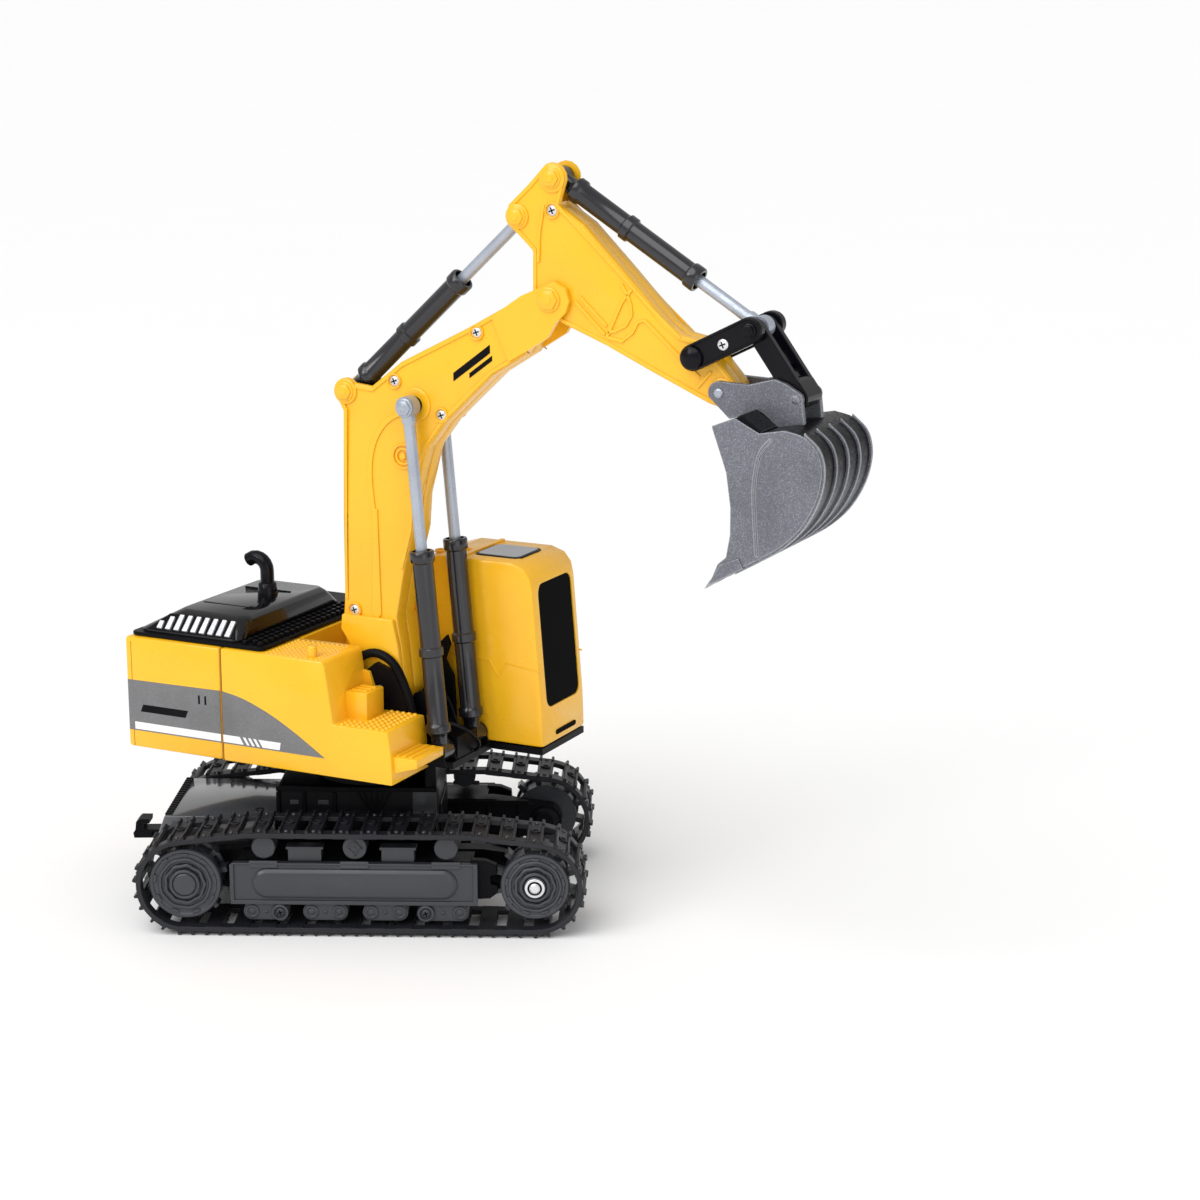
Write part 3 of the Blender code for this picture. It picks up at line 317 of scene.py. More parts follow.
class Shape:
    """One visible piece, put together from solids in millimetres."""

    def __init__(self):
        self.mesh = bmesh.new()

    def move(self, made, matrix):
        if matrix is not None:
            bmesh.ops.transform(self.mesh, matrix=matrix, verts=made)

    def skin(self, rings):
        """Faces from each ring of vertices to the next."""
        for a, b in zip(rings, rings[1:]):
            for i in range(len(a)):
                j = (i + 1) % len(a)
                self.mesh.faces.new((a[i], a[j], b[j], b[i]))

    def loft(self, rings):
        """A closed skin over rings of vertices with the same number of points."""
        self.skin(rings)
        self.mesh.faces.new(rings[-1])
        self.mesh.faces.new(list(reversed(rings[0])))

    def box(self, low, high, matrix=None):
        made = bmesh.ops.create_cube(self.mesh, size=1)["verts"]
        for vertex in made:
            for i in range(3):
                vertex.co[i] = low[i] if vertex.co[i] < 0 else high[i]
        self.move(made, matrix)

    def prism(self, outline, low, high, along="Y", matrix=None):
        """An outline of (x, z), (x, y) or (y, z) points extruded along Y, Z or X."""
        put = {
            "Y": lambda u, v, w: (u, w, v),
            "Z": lambda u, v, w: (u, v, w),
            "X": lambda u, v, w: (w, u, v)}[along]
        ends = []
        for level in (low, high):
            ends.append([self.mesh.verts.new(put(u, v, level)) for u, v in outline])
        self.mesh.faces.new(ends[0])
        self.mesh.faces.new(list(reversed(ends[1])))
        for i in range(len(outline)):
            j = (i + 1) % len(outline)
            self.mesh.faces.new((ends[0][j], ends[0][i], ends[1][i], ends[1][j]))
        self.move(ends[0] + ends[1], matrix)

    def frame(self, outer, inner, low, high):
        """A flat ring along Y between two outlines with the same number of points."""
        rings = []
        for outline, level in ((outer, low), (outer, high), (inner, high), (inner, low)):
            rings.append([self.mesh.verts.new((u, level, v)) for u, v in outline])
        self.skin(rings + rings[:1])

    def turned(self, profile, at, direction, steps=48, lobes=0, depth=0):
        """A profile of (radius, height) turned about an axis; lobes make its rim wavy."""
        turn = Vector(direction).normalized().to_track_quat("Z", "Y").to_matrix()
        at = Vector(at)
        rings = []
        for radius, height in profile:
            if radius < 1e-6:
                rings.append([self.mesh.verts.new(at + turn @ Vector((0, 0, height)))])
                continue
            ring = []
            for i in range(steps):
                angle = 2 * math.pi * i / steps
                reach = radius + depth * math.cos(lobes * angle)
                ring.append(self.mesh.verts.new(
                    at + turn @ Vector((reach * math.cos(angle), reach * math.sin(angle), height))))
            rings.append(ring)
        for a, b in zip(rings, rings[1:]):
            for i in range(steps):
                j = (i + 1) % steps
                corners = [a[i % len(a)], a[j % len(a)], b[j % len(b)], b[i % len(b)]]
                if len(a) == 1:
                    corners = corners[1:]
                elif len(b) == 1:
                    corners = corners[:3]
                self.mesh.faces.new(corners)

    def bar(self, start, end, radius, steps=20):
        reach = Vector(end) - Vector(start)
        profile = ((0, 0), (radius, 0), (radius, reach.length), (0, reach.length))
        self.turned(profile, start, reach, steps)

    def dome(self, at, direction, radius, height, steps=16):
        profile = [(radius, 0), (radius * 0.86, height * 0.55), (radius * 0.5, height * 0.9), (0, height)]
        self.turned(profile, at, direction, steps)

    def pipe(self, points, radius, steps=12):
        """A tube of circles set square to the path through the points."""
        path = [Vector(p) for p in points]
        rings = []
        before = (path[1] - path[0]).normalized()
        turn = before.to_track_quat("Z", "Y")
        for k, point in enumerate(path):
            heading = (path[min(k + 1, len(path) - 1)] - path[max(k - 1, 0)]).normalized()
            turn = before.rotation_difference(heading) @ turn
            before = heading
            rings.append([
                self.mesh.verts.new(point + turn @ Vector((
                    radius * math.cos(2 * math.pi * i / steps), radius * math.sin(2 * math.pi * i / steps), 0)))
                for i in range(steps)])
        self.loft(rings)

    def done(self, name, body, material, bevel=0, segments=2, replaces=(), sharp=35):
        """Puts the piece in the scene, riding on its body; the crawler's bodies use the chassis frame."""
        where = CHASSIS if body.endswith(("chassis", "sprocket", "idler")) else HOUSE
        bmesh.ops.remove_doubles(self.mesh, verts=self.mesh.verts, dist=1e-5)
        bmesh.ops.recalc_face_normals(self.mesh, faces=self.mesh.faces)
        bmesh.ops.transform(self.mesh, matrix=where, verts=self.mesh.verts)
        mesh = bpy.data.meshes.new(name)
        self.mesh.to_mesh(mesh)
        self.mesh.free()
        mesh.materials.append(material)
        mesh.shade_smooth()
        mesh.set_sharp_from_angle(angle=math.radians(sharp))
        piece = bpy.data.objects.new(name, mesh)
        bpy.context.scene.collection.objects.link(piece)
        if bevel:
            soften(piece, bevel, segments)
        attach(piece, body)
        if replaces:
            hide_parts(*replaces)


def soften(piece, width, segments):
    modifier = piece.modifiers.new("rounded_edges", "BEVEL")
    modifier.width = width * MM
    modifier.segments = segments
    modifier.limit_method = "ANGLE"
    modifier.angle_limit = math.radians(38)
    modifier.harden_normals = True
    modifier.use_clamp_overlap = True


def across(side, inner, outer):
    return (inner, outer) if side > 0 else (-outer, -inner)


def dress(name, material):
    """Gives a CAD node its finish, with smooth round faces and crisp edges."""
    node = NODES[name]
    node.data.materials.clear()
    node.data.materials.append(material)
    for face in node.data.polygons:
        face.material_index = 0
    normals = node.data.attributes.get("custom_normal")
    if normals:
        node.data.attributes.remove(normals)
    node.data.shade_smooth()
    weld = node.modifiers.new("weld", "WELD")
    weld.merge_threshold = 0.00001
    split = node.modifiers.new("crisp_edges", "EDGE_SPLIT")
    split.split_angle = math.radians(32)


def screw(heads, slots, at, direction, radius):
    """A cross-head screw: its head goes in one shape and its cross, as two dark bars, in the other."""
    heads.turned(
        [(radius, 0), (radius, 0.35), (radius * 0.8, 0.75), (radius * 0.35, 0.95), (0, 1)], at, direction, 24)
    turn = Vector(direction).normalized().to_track_quat("Z", "Y").to_matrix().to_4x4()
    turn = Matrix.Translation(Vector(at)) @ turn @ Matrix.Rotation(math.radians(20), 4, "Z")
    for x, y in ((radius * 0.6, 0.28), (0.28, radius * 0.6)):
        slots.box((-x, -y, 0.6), (x, y, 1.03), turn)


# ---------------------------------------------------------------- crawler tracks

HUB_X = abs(IDLER_HUB.x)
HUB_Z = IDLER_HUB.z
BELT_LOW, BELT_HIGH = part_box("left_track_belt")
BELT_INNER_Y = BELT_LOW.y / MM - SWING.y / MM
BELT_OUTER_Y = BELT_HIGH.y / MM - SWING.y / MM
PITCH_RADIUS = 18.9
TOP_RUN_HALF = 46
TOP_RUN_RISE = 3.3
SHOES = 36


def track_loop():
    """The middle line of the belt: flat on the ground, carried a little higher on the return rollers."""
    top = HUB_Z + PITCH_RADIUS + TOP_RUN_RISE
    front = [(TOP_RUN_HALF, top)] + arc((HUB_X, HUB_Z), PITCH_RADIUS, 83, -90, 36)
    return front + [(-x, z) for x, z in reversed(front)]


def along_loop(loop, distance):
    """A point on the closed loop and the heading there."""
    for a, b in zip(loop, loop[1:] + loop[:1]):
        step = Vector(b) - Vector(a)
        if distance < step.length:
            point = Vector(a) + step.normalized() * distance
            return point.x, point.y, math.atan2(step.y, step.x)
        distance -= step.length
    return loop[0][0], loop[0][1], 0


def make_belt(side, name):
    """A ladder-like belt: a rail along each edge, and cross pads with paired fins between open windows."""
    loop = track_loop()
    length = sum((Vector(b) - Vector(a)).length for a, b in zip(loop, loop[1:] + loop[:1]))
    rails = Shape()
    for inner, outer in ((BELT_INNER_Y + 0.2, BELT_INNER_Y + 5.7), (BELT_OUTER_Y - 5.7, BELT_OUTER_Y - 0.2)):
        low, high = across(side, inner, outer)
        rails.frame(inset(loop, -1.05), inset(loop, 1.05), low, high)
    pads, rivets = Shape(), Shape()
    middle = (BELT_INNER_Y + BELT_OUTER_Y) / 2
    for i in range(SHOES):
        x, z, heading = along_loop(loop, (i + 0.35) * length / SHOES)
        place = Matrix.Translation((x, 0, z)) @ Matrix.Rotation(-heading, 4, "Y")
        outward = place.to_3x3() @ Vector((0, 0, 1))
        low, high = across(side, BELT_INNER_Y + 0.5, BELT_OUTER_Y - 0.5)
        pads.box((-3.35, low, -1.2), (3.35, high, 1.25), place)
        for s in (-2.75, 2.75):
            fin = [(s - 0.75, 1), (s + 0.75, 1), (s + 0.45, 2), (s - 0.45, 2)]
            pads.prism(fin, low, high, "Y", place)
            tall = [(s - 0.75, 1), (s + 0.75, 1), (s + 0.5, 2.5), (s - 0.5, 2.5)]
            for inner, outer in ((BELT_INNER_Y + 0.5, BELT_INNER_Y + 6),
                                 (BELT_OUTER_Y - 6, BELT_OUTER_Y - 0.5)):
                pads.prism(tall, *across(side, inner, outer), "Y", place)
        ring = [(2, 1), (2, 1.9), (1.6, 2.1), (1.2, 1.9), (1.2, 1.3), (0, 1.3)]
        pads.turned(ring, place @ Vector((0, side * middle, 0)), outward, 20)
        for y in (BELT_INNER_Y + 3.2, BELT_OUTER_Y - 3.2):
            rivets.dome(place @ Vector((0, side * y, 1.2)), outward, 1, 0.8, 12)
    pads.done(name + "_track_shoes", "chassis", BELT, 0.25, 1)
    rails.done(name + "_track_links", "chassis", BELT, 0.3, 1, replaces=(name + "_track_belt",))
    rivets.done(name + "_track_rivets", "chassis", WHEEL_GREY)


def make_wheel(side, name, kind):
    """A toothed wheel with stepped, wavy rings on its face."""
    end = -1 if kind == "sprocket" else 1
    out = Vector((0, side, 0))
    at = Vector((end * HUB_X, 0, HUB_Z))
    rim = 15.2 if kind == "sprocket" else 14.4
    wheel = Shape()
    wheel.turned(
        [(0, 55.6), (4.2, 55.6), (8.6, 55.6), (8.9, 55.9), (rim - 2.2, 55.9), (rim - 1.7, 56.4),
         (rim - 0.5, 56.4), (rim, 55.8), (rim, 52.2), (13.2, 51.6), (13.2, 41.5), (rim - 0.6, 41),
         (rim - 0.6, 39), (0, 39)], at, out, 72)
    rings = ((11.2, 0.12, 56.9, 9), (8.7, 0.22, 57.3, 9), (6.4, 0, 57.9, 0))
    for radius, depth, top, lobes in rings:
        profile = [(radius, 55), (radius, top - 0.3), (radius - 0.35, top), (radius - 1.1, top),
                   (radius - 1.5, top - 0.5), (radius - 1.5, 55)]
        wheel.turned(profile, at, out, 72, lobes, depth)
    boss = 4.8 if kind == "sprocket" else 4.6
    wheel.turned([(boss, 55), (boss, 57.6), (boss - 0.5, 58), (0, 58)], at, out, 40)
    for i in range(12):
        angle = 2 * math.pi * (i + 0.5) / 12
        turn = Matrix.Translation(at) @ Matrix.Rotation(angle, 4, "Y")
        span = across(side, 43.5, 50.5)
        wheel.box((-1.1, span[0], 12), (1.1, span[1], 17.3), turn)
    for i in range(9):
        angle = 2 * math.pi * i / 9
        turn = Matrix.Translation(at) @ Matrix.Rotation(angle, 4, "Y")
        span = across(side, 55, 56.7)
        wheel.box((-1.6, span[0], rim - 3.1), (1.6, span[1], rim - 1.9), turn)
    wheel.done(f"{name}_{kind}_wheel", f"{name}_{kind}", WHEEL_GREY, 0.12, 1, replaces=(f"{name}_{kind}",))
    if kind == "idler":
        cap = Shape()
        cap.turned([(4.1, 58), (4.1, 58.7), (3.8, 58.9), (3.1, 58.9), (3, 58.2), (0, 58.2)], at, out, 40)
        cap.turned([(2.2, 58), (2.2, 59), (1.6, 59.5), (0, 59.6)], at, out, 32)
        cap.done(name + "_idler_cap", "chassis", STEEL, replaces=(name + "_idler_axle",))
        groove = Shape()
        groove.turned([(3, 58), (3, 58.4), (0, 58.4)], at, out, 32)
        groove.done(name + "_idler_cap_groove", "chassis", BLACK)


ROLLER_X = (-40, -2, 36)
BOGIE_Z = 9.3
BOGIES = ((-49.5, -29.3), (-24.6, -4.7), (0.4, 20.5), (23.2, 45.8))


def make_side_panel(side, name):
    """The outer panel with its long raised rib, dummy return rollers, boxes and four two-wheel bogies."""
    out = Vector((0, side, 0))
    panel = Shape()
    span = across(side, 53, 56)
    panel.prism([(-54, 12.9), (49, 12.9), (49, 30.8), (-53, 30.8)], *span)
    span = across(side, 55.5, 56.9)
    panel.prism([(-54.2, 12.8), (49.2, 12.8), (49.2, 14.6), (-54, 14.6)], *span)
    panel.box((-53.4, span[0], 30.2), (49.2, span[1], 31))
    for low, high in ((-54.2, -52.4), (47.2, 49.2)):
        panel.box((low, span[0], 14.4), (high, span[1], 30.4))
    panel.done(name + "_panel", "chassis", GREY_BLACK, 0.35, 2, replaces=(name + "_side_panel",))

    tabs = Shape()
    for x in ROLLER_X:
        tabs.box((x - 6, span[0], 28.8), (x + 6, span[1], 31.9))
    tabs.done(name + "_panel_tabs", "chassis", WHEEL_GREY, 0.4, 2)

    rib = Shape()
    steps = ((0, 55.8), (0, 56.6), (1.2, 57.6), (2.2, 57.9))
    outline = rounded_rectangle((-44.7, 15.6), (40.7, 28.4), 6.2, 8)
    rings = [[rib.mesh.verts.new((x, side * level, z)) for x, z in inset(outline, gap)] for gap, level in steps]
    rib.loft(rings)
    rib.done(name + "_panel_rib", "chassis", GREY_BLACK, 0.3, 2, sharp=60)

    rollers = Shape()
    for x in ROLLER_X:
        rollers.turned([(0, 46), (5, 46), (5, 54.6), (4.6, 55), (0, 55)], (x, 0, 37.2), out, 40)
    mark = Matrix.Translation((ROLLER_X[1], 0, 37.2)) @ Matrix.Rotation(math.radians(45), 4, "Y")
    span = across(side, 54.8, 55.5)
    for low, high in (((-2.2, -2.2), (2.2, -1.6)), ((-2.2, 1.6), (2.2, 2.2)), ((-2.2, -2.2), (-1.6, 2.2)),
                      ((1.6, -2.2), (2.2, 2.2)), ((-0.7, -0.7), (0.7, 0.7))):
        rollers.box((low[0], span[0], low[1]), (high[0], span[1], high[1]), mark)
    span = across(side, 48, 54)
    for low, high in ((-30, -16), (9, 22.7)):
        rollers.box((low, span[0], 31), (high, span[1], 36.6))
        rollers.box((low - 0.8, span[0], 36), (high + 0.8, span[1], 37.3))
    rollers.done(name + "_return_rollers", "chassis", GREY_BLACK, 0.3, 2)

    bogies = Shape()
    heads, slots = Shape(), Shape()
    for k, (low, high) in enumerate(BOGIES):
        inner, outer = across(side, 50, 55.4)
        left, right = low + 4.2, high - 4.2
        bogies.prism(stadium((left, BOGIE_Z), (right, BOGIE_Z), 3.7, 12), inner, outer)
        for x in (left, right):
            bogies.turned([(3, 55), (3, 55.9), (2.5, 56.1), (1.9, 56.1), (1.9, 55.6), (1.2, 55.6), (0.9, 56),
                           (0, 56.1)], (x, 0, BOGIE_Z), out, 28)
        bogies.dome(((left + right) / 2, side * 55.4, BOGIE_Z), out, 0.9, 0.6, 12)
        if k in (0, 3):
            x = right if k == 0 else left
            cup = [(3.6, 55), (3.6, 57), (3.2, 57.2), (2.5, 57.2), (2.5, 55.5)]
            bogies.turned(cup, (x, 0, BOGIE_Z), out, 32)
            screw(heads, slots, (x, side * 55.9, BOGIE_Z), out, 1.9)
    bogies.done(name + "_bogies", "chassis", GREY_BLACK, 0.3, 2)
    heads.done(name + "_bogie_screws", "chassis", GREY_BLACK)
    slots.done(name + "_bogie_screw_slots", "chassis", BLACK)

    bracket = Shape()
    span = across(side, 49, 53.5)
    bracket.prism([(46, 14.5), (54, 15), (57.2, 17.5), (57.6, 20.5), (54.6, 21.4), (54.4, 24.8), (57.2, 25.6),
                   (57, 29.5), (52, 31.5), (46, 31.8)], *span)
    bracket.done(name + "_tension_bracket", "chassis", BLACK, 0.5, 2)


def make_inner_ribs(side, name):
    """The track frame's inner face carries a shelf and a row of stiffening ribs."""
    ribs = Shape()
    span = across(side, 29.2, 31)
    ribs.box((-50, span[0], 29.6), (66, span[1], 31.2))
    ribs.box((-50, span[0], 13.6), (62, span[1], 15))
    for k in range(9):
        x = -48 + k * 13.6
        if -38 < x < 24:
            continue
        ribs.box((x, span[0] + 0.3, 14), (x + 1.3, span[1], 30.5))
    hub = [(0, 28.6), (4.2, 28.6), (5.4, 29.6), (6.6, 29.8), (6.6, 31), (0, 31)]
    for x in (HUB_X, -HUB_X):
        ribs.turned(hub, (x, 0, HUB_Z), (0, side, 0), 32)
    ribs.done(name + "_frame_ribs", "chassis", BLACK, 0.25, 1)


def make_tracks():
    for side, name in SIDES:
        make_belt(side, name)
        make_wheel(side, name, "sprocket")
        make_wheel(side, name, "idler")
        make_side_panel(side, name)
        make_inner_ribs(side, name)
        dress(name + "_track_frame", BLACK)
        dress(name + "_drive_axle", STEEL)
        dress(name + "_drive_gearbox", BLACK)


# ---------------------------------------------------------------- chassis


def make_chassis():
    for node, material in (("chassis_frame", BLACK), ("rear_deck", DECK_BLACK_PAINTED_SHEEN), ("tow_hook", BLACK),
                           ("belly_pan", BLACK), ("turntable_ring", BLACK), ("battery_pack", BATTERY),
                           ("power_switch", BLACK)):
        dress(node, material)
    trim = Shape()
    for k in range(17):
        y = -25.6 + k * 3.1
        trim.box((-86.4, y, 41.2), (-83.2, y + 1.7, 42.2))
    trim.turned([(2, 41.3), (2, 41.9), (1.4, 41.9), (1.4, 41.4)], (-47, -18, 0), (0, 0, 1), 24)
    trim.done("deck_edge_ribs", "chassis", BLACK, 0.3, 1)
    ribs = Shape()
    walls = Shape()
    for side in (-1, 1):
        span = across(side, 24.6, 25.8)
        for x in (-38.6, -27.5, -14.5):
            ribs.box((x, span[0], 31), (x + 1.6, span[1], 52))
        for k in range(6):
            foot, head = 1 + k * 0.7, -4.6 + k * 2.9
            ribs.prism([(foot, 43), (foot + 0.7, 43), (head + 1.2, 52.6), (head, 52.6)], *span)
        ribs.box((-38.6, span[0], 52.4), (30, span[1], 54.4))
        span = across(side, 24.8, 25.3)
        for low, high in ((-32.8, -29), (-20.9, -16.2)):
            walls.box((low, span[0], 46.4), (high, span[1], 48.4))
        walls.box((19.5, span[0], 42), (29.6, span[1], 52.4))
    ribs.box((29.2, -16, 18), (30.8, 16, 44))
    ribs.done("pedestal_ribs", "chassis", BLACK, 0.25, 1)
    walls.done("pedestal_windows", "chassis", GREY_BLACK, 0.2, 1)

    collar = Shape()
    collar.turned([(19, 57.4), (22.6, 58), (23.4, 66.8), (19, 67.2)], (0, 0, 0), (0, 0, 1), 64)
    for k in range(36):
        turn = Matrix.Rotation(2 * math.pi * k / 36, 4, "Z")
        collar.prism([(21.5, 57.6), (23.8, 58), (24.2, 66.9), (21.5, 66.9)], -0.45, 0.45, "Y", turn)
    collar.done("turntable_ribs", "house", BLACK, 0.15, 1)


# ---------------------------------------------------------------- house


def stud_field(shape, low, high, z, pitch, radius, skip=None):
    """A grip surface of small round studs."""
    rows = int((high[1] - low[1]) / pitch)
    columns = int((high[0] - low[0]) / pitch)
    for i in range(columns + 1):
        for j in range(rows + 1):
            x, y = low[0] + i * pitch, low[1] + j * pitch
            if skip and skip(x, y):
                continue
            shape.dome((x, y, z), (0, 0, 1), radius, radius * 0.8, 8)


def make_house():
    for node in ("rear_body_shell", "right_body_shell", "left_body_shell"):
        dress(node, YELLOW)
    dress("house_floor", BLACK)
    dress("swing_gearbox", BLACK)
    dress("circuit_board", BOARD)
    dress("boom_pivot_pin", STEEL)
    dress("lift_foot_pin", STEEL)

    studs = Shape()
    stud_field(studs, (16, -49.8), (37.5, -42), 89.6, 2.8, 1.1)
    stud_field(studs, (24.5, -41), (37.5, -24), 89.6, 2.8, 1.1)
    stud_field(studs, (-19.5, -50), (6.5, -24), 115.8, 2.4, 0.85,
               lambda x, y: abs(x) < 2.6 and abs(y + 46) < 2.6)
    studs.turned([(2.1, 115.5), (2.1, 120), (1.7, 120.6), (0, 120.6)], (0, -46, 0), (0, 0, 1), 24)
    studs.done("grip_studs", "house", YELLOW, sharp=60)

    steps = Shape()
    for y in (-37.2, -34, -30.8):
        steps.box((13.2, y, 100.6), (20.6, y + 1.3, 101.6))
    for x in (40.4, 43.6, 46.8):
        steps.box((x, -48.5, 78.7), (x + 1.6, -29.5, 79.6))
    steps.prism([(5.4, 113.9), (1, 115.9), (-3, 115.9), (-3, 100), (16, 90), (15.4, 99.7), (13.5, 105.6),
                 (7.6, 106.8)], -23.9, -21.9)
    steps.done("step_bars", "house", YELLOW, 0.3, 2)

    groove = Shape()
    groove.box((-42.2, -51.9, 67.2), (-41.8, -22, 115.4))
    groove.box((-42.2, 12.6, 67.2), (-41.8, 51.9, 115.4))
    groove.box((-87.5, -52.08, 68), (-87.2, -51, 114))
    groove.box((-87.5, 51, 68), (-87.2, 52.08, 114))
    shell = NODES["rear_body_shell"]
    rear = min((HOUSE.inverted() @ shell.matrix_world @ corner.co).x for corner in shell.data.vertices) - 0.08
    for k in range(7):
        z = 84 + k * 3.6
        groove.prism(stadium((-17, z), (17, z), 0.8, 6), rear, rear + 1, "X")
    for y in (-40, 40):
        groove.prism(stadium((y - 4, 106), (y + 4, 106), 0.6, 6), rear, rear + 1, "X")
    groove.done("panel_gaps", "house", SEAM)

    well = Shape()
    well.prism([(-19.6, 112), (-3, 112), (-3, 86), (-19.6, 86)], -21.6, -19)
    well.box((-19.7, -21, 70.6), (-18, 11.8, 104))
    well.done("boom_well_lining", "house", YELLOW, 0.3, 2)
    make_decal()
    make_engine_cover()
    make_machinery()


def make_decal():
    """A plain two-tone band: a grey sweep with a white stripe, with no lettering."""
    for side, name in SIDES:
        level = 52
        grey = Shape()
        edge = smooth_through([(-41.4, 97.5), (-31, 95.4), (-18, 90.4), (-5, 83.4), (8.6, 74.8)], 5)
        span = across(side, level - 0.05, level + 0.12)
        rear = [(-89.6, 97), (-42.6, 97.5), (-42.6, 74.8), (-89.6, 74.8)]
        grey.prism(rear, *span)
        if side < 0:
            grey.prism([(-41.4, 74.8)] + edge, *span)
        else:
            grey.prism([(-41.4, 74.8), (-41.4, 97.5), (-18, 90.4), (7, 76), (7, 74.8)], *span)
        grey.done(name + "_side_band", "house", DECAL_GREY)
        white = Shape()
        span = across(side, level, level + 0.2)
        white.prism([(-86.6, 78.6), (-42.6, 78.6), (-42.6, 75.4), (-86.6, 75.4)], *span)
        white.prism([(-41.4, 78.6), (-33.2, 78.6), (-31.2, 75.4), (-41.4, 75.4)], *span)
        for k in range(3):
            x = -31.6 + k * 2.6
            white.prism([(x, 78.6), (x + 1.3, 78.6), (x + 3.3, 75.4), (x + 2, 75.4)], *span)
        white.prism([(-23.8, 78.6), (-12.8, 78.6), (-13.4, 75.4), (-21.8, 75.4)], *span)
        white.done(name + "_side_stripe", "house", DECAL_WHITE)
        dark = Shape()
        dark.prism([(-82, 86.6), (-59, 86.6), (-60.4, 83.4), (-83.4, 83.4)], *span)
        for x in (-53.6, -50.4):
            dark.box((x, span[0], 90.4), (x + 0.9, span[1], 94.2))
        dark.done(name + "_side_blocks", "house", BLACK)


def make_engine_cover():
    base_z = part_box("engine_cover")[0].z / MM
    cover = Shape()
    cover.prism(rounded_rectangle((-88.6, -50.2), (-21.8, 50.2), 3, 5), base_z, base_z + 1.6, "Z")
    for k in range(24):
        y = -48.5 + k * 4.1
        for row, x in enumerate((-33, -29.4, -25.8)):
            shift = 2 * (row % 2)
            cover.box((x, y + shift, base_z + 1.2), (x + 2, y + shift + 2.2, base_z + 3.3))
    cover.done("engine_cover_base", "house", BLACK, 0.3, 1, replaces=("engine_cover",))

    hood = Shape()
    foot = rounded_rectangle((-86, -48), (-34.5, 33), 5, 6)
    crown = rounded_rectangle((-70.5, -38.5), (-38, 23.5), 4, 6)
    shoulder = rounded_rectangle((-73.5, -41), (-35.8, 25.5), 5, 6)
    levels = ((foot, base_z + 1.4), (foot, base_z + 2.6), (shoulder, 125.6), (crown, 127.2))
    rings = [[hood.mesh.verts.new((x, y, z)) for x, y in outline] for outline, z in levels]
    hood.loft(rings)
    hood.done("engine_hood", "house", HOOD_BLACK, 0.9, 3, sharp=50)

    slope = Matrix.Translation((-61, -44.6, (base_z + 128.2) / 2)) @ Matrix.Rotation(math.radians(45), 4, "X")
    recess = Shape()
    recess.prism([(-20.5, -4.4), (24, -4.4), (20.5, 4.4), (-12.5, 4.4)], -0.9, 0.3, "Z", slope)
    recess.done("louvre_recess", "house", BLACK, 0.2, 1)
    fins = Shape()
    for k in range(9):
        x = -15.6 + k * 4.3
        top = 3.9 - max(0, -9 - x) * 0.6
        fins.prism([(x, -3.9), (x + 2.6, -3.9), (x + 2.4, top), (x + 0.2, top)], 0, 1.2, "Z", slope)
    fins.done("louvre_fins", "house", LOUVRE, 0.3, 2)

    grooves = Shape()
    for y in (-24, 8):
        grooves.box((-68.5, y - 0.5, 126.9), (-45, y + 0.5, 127.45))
    grooves.done("hood_ridges", "house", GLOSS_BLACK, 0.2, 2)

    stack = Shape()
    at = (-51, -1, 0)
    stack.turned([(0, 127), (4.4, 127), (4.4, 128), (4.2, 129.2), (4, 132.4), (3.3, 133), (0, 133)],
                 at, (0, 0, 1), 40)
    path = [(-51, -1, 132), (-51, -1, 135.5)]
    path += [(-56.5 + 5.5 * math.cos(a), -1, 138 + 5.5 * math.sin(a)) for a in
             (0, 0.3, 0.6, 0.9, 1.2, 1.5, 1.8)]
    path.append((-60.2, -1, 142))
    stack.pipe(path, 3, 24)
    stack.dome((-51 + 3.6, -1, 130), (1, 0, 0.3), 1.2, 1.2, 12)
    stack.done("exhaust_stack", "house", GLOSS_BLACK, replaces=("muffler",), sharp=50)
    mouth = Shape()
    mouth.turned([(2.2, 0), (2.2, 0.25), (0, 0.25)], (-60.15, -1, 142), (-0.95, 0, -0.3), 24)
    mouth.done("exhaust_mouth", "house", BLACK)


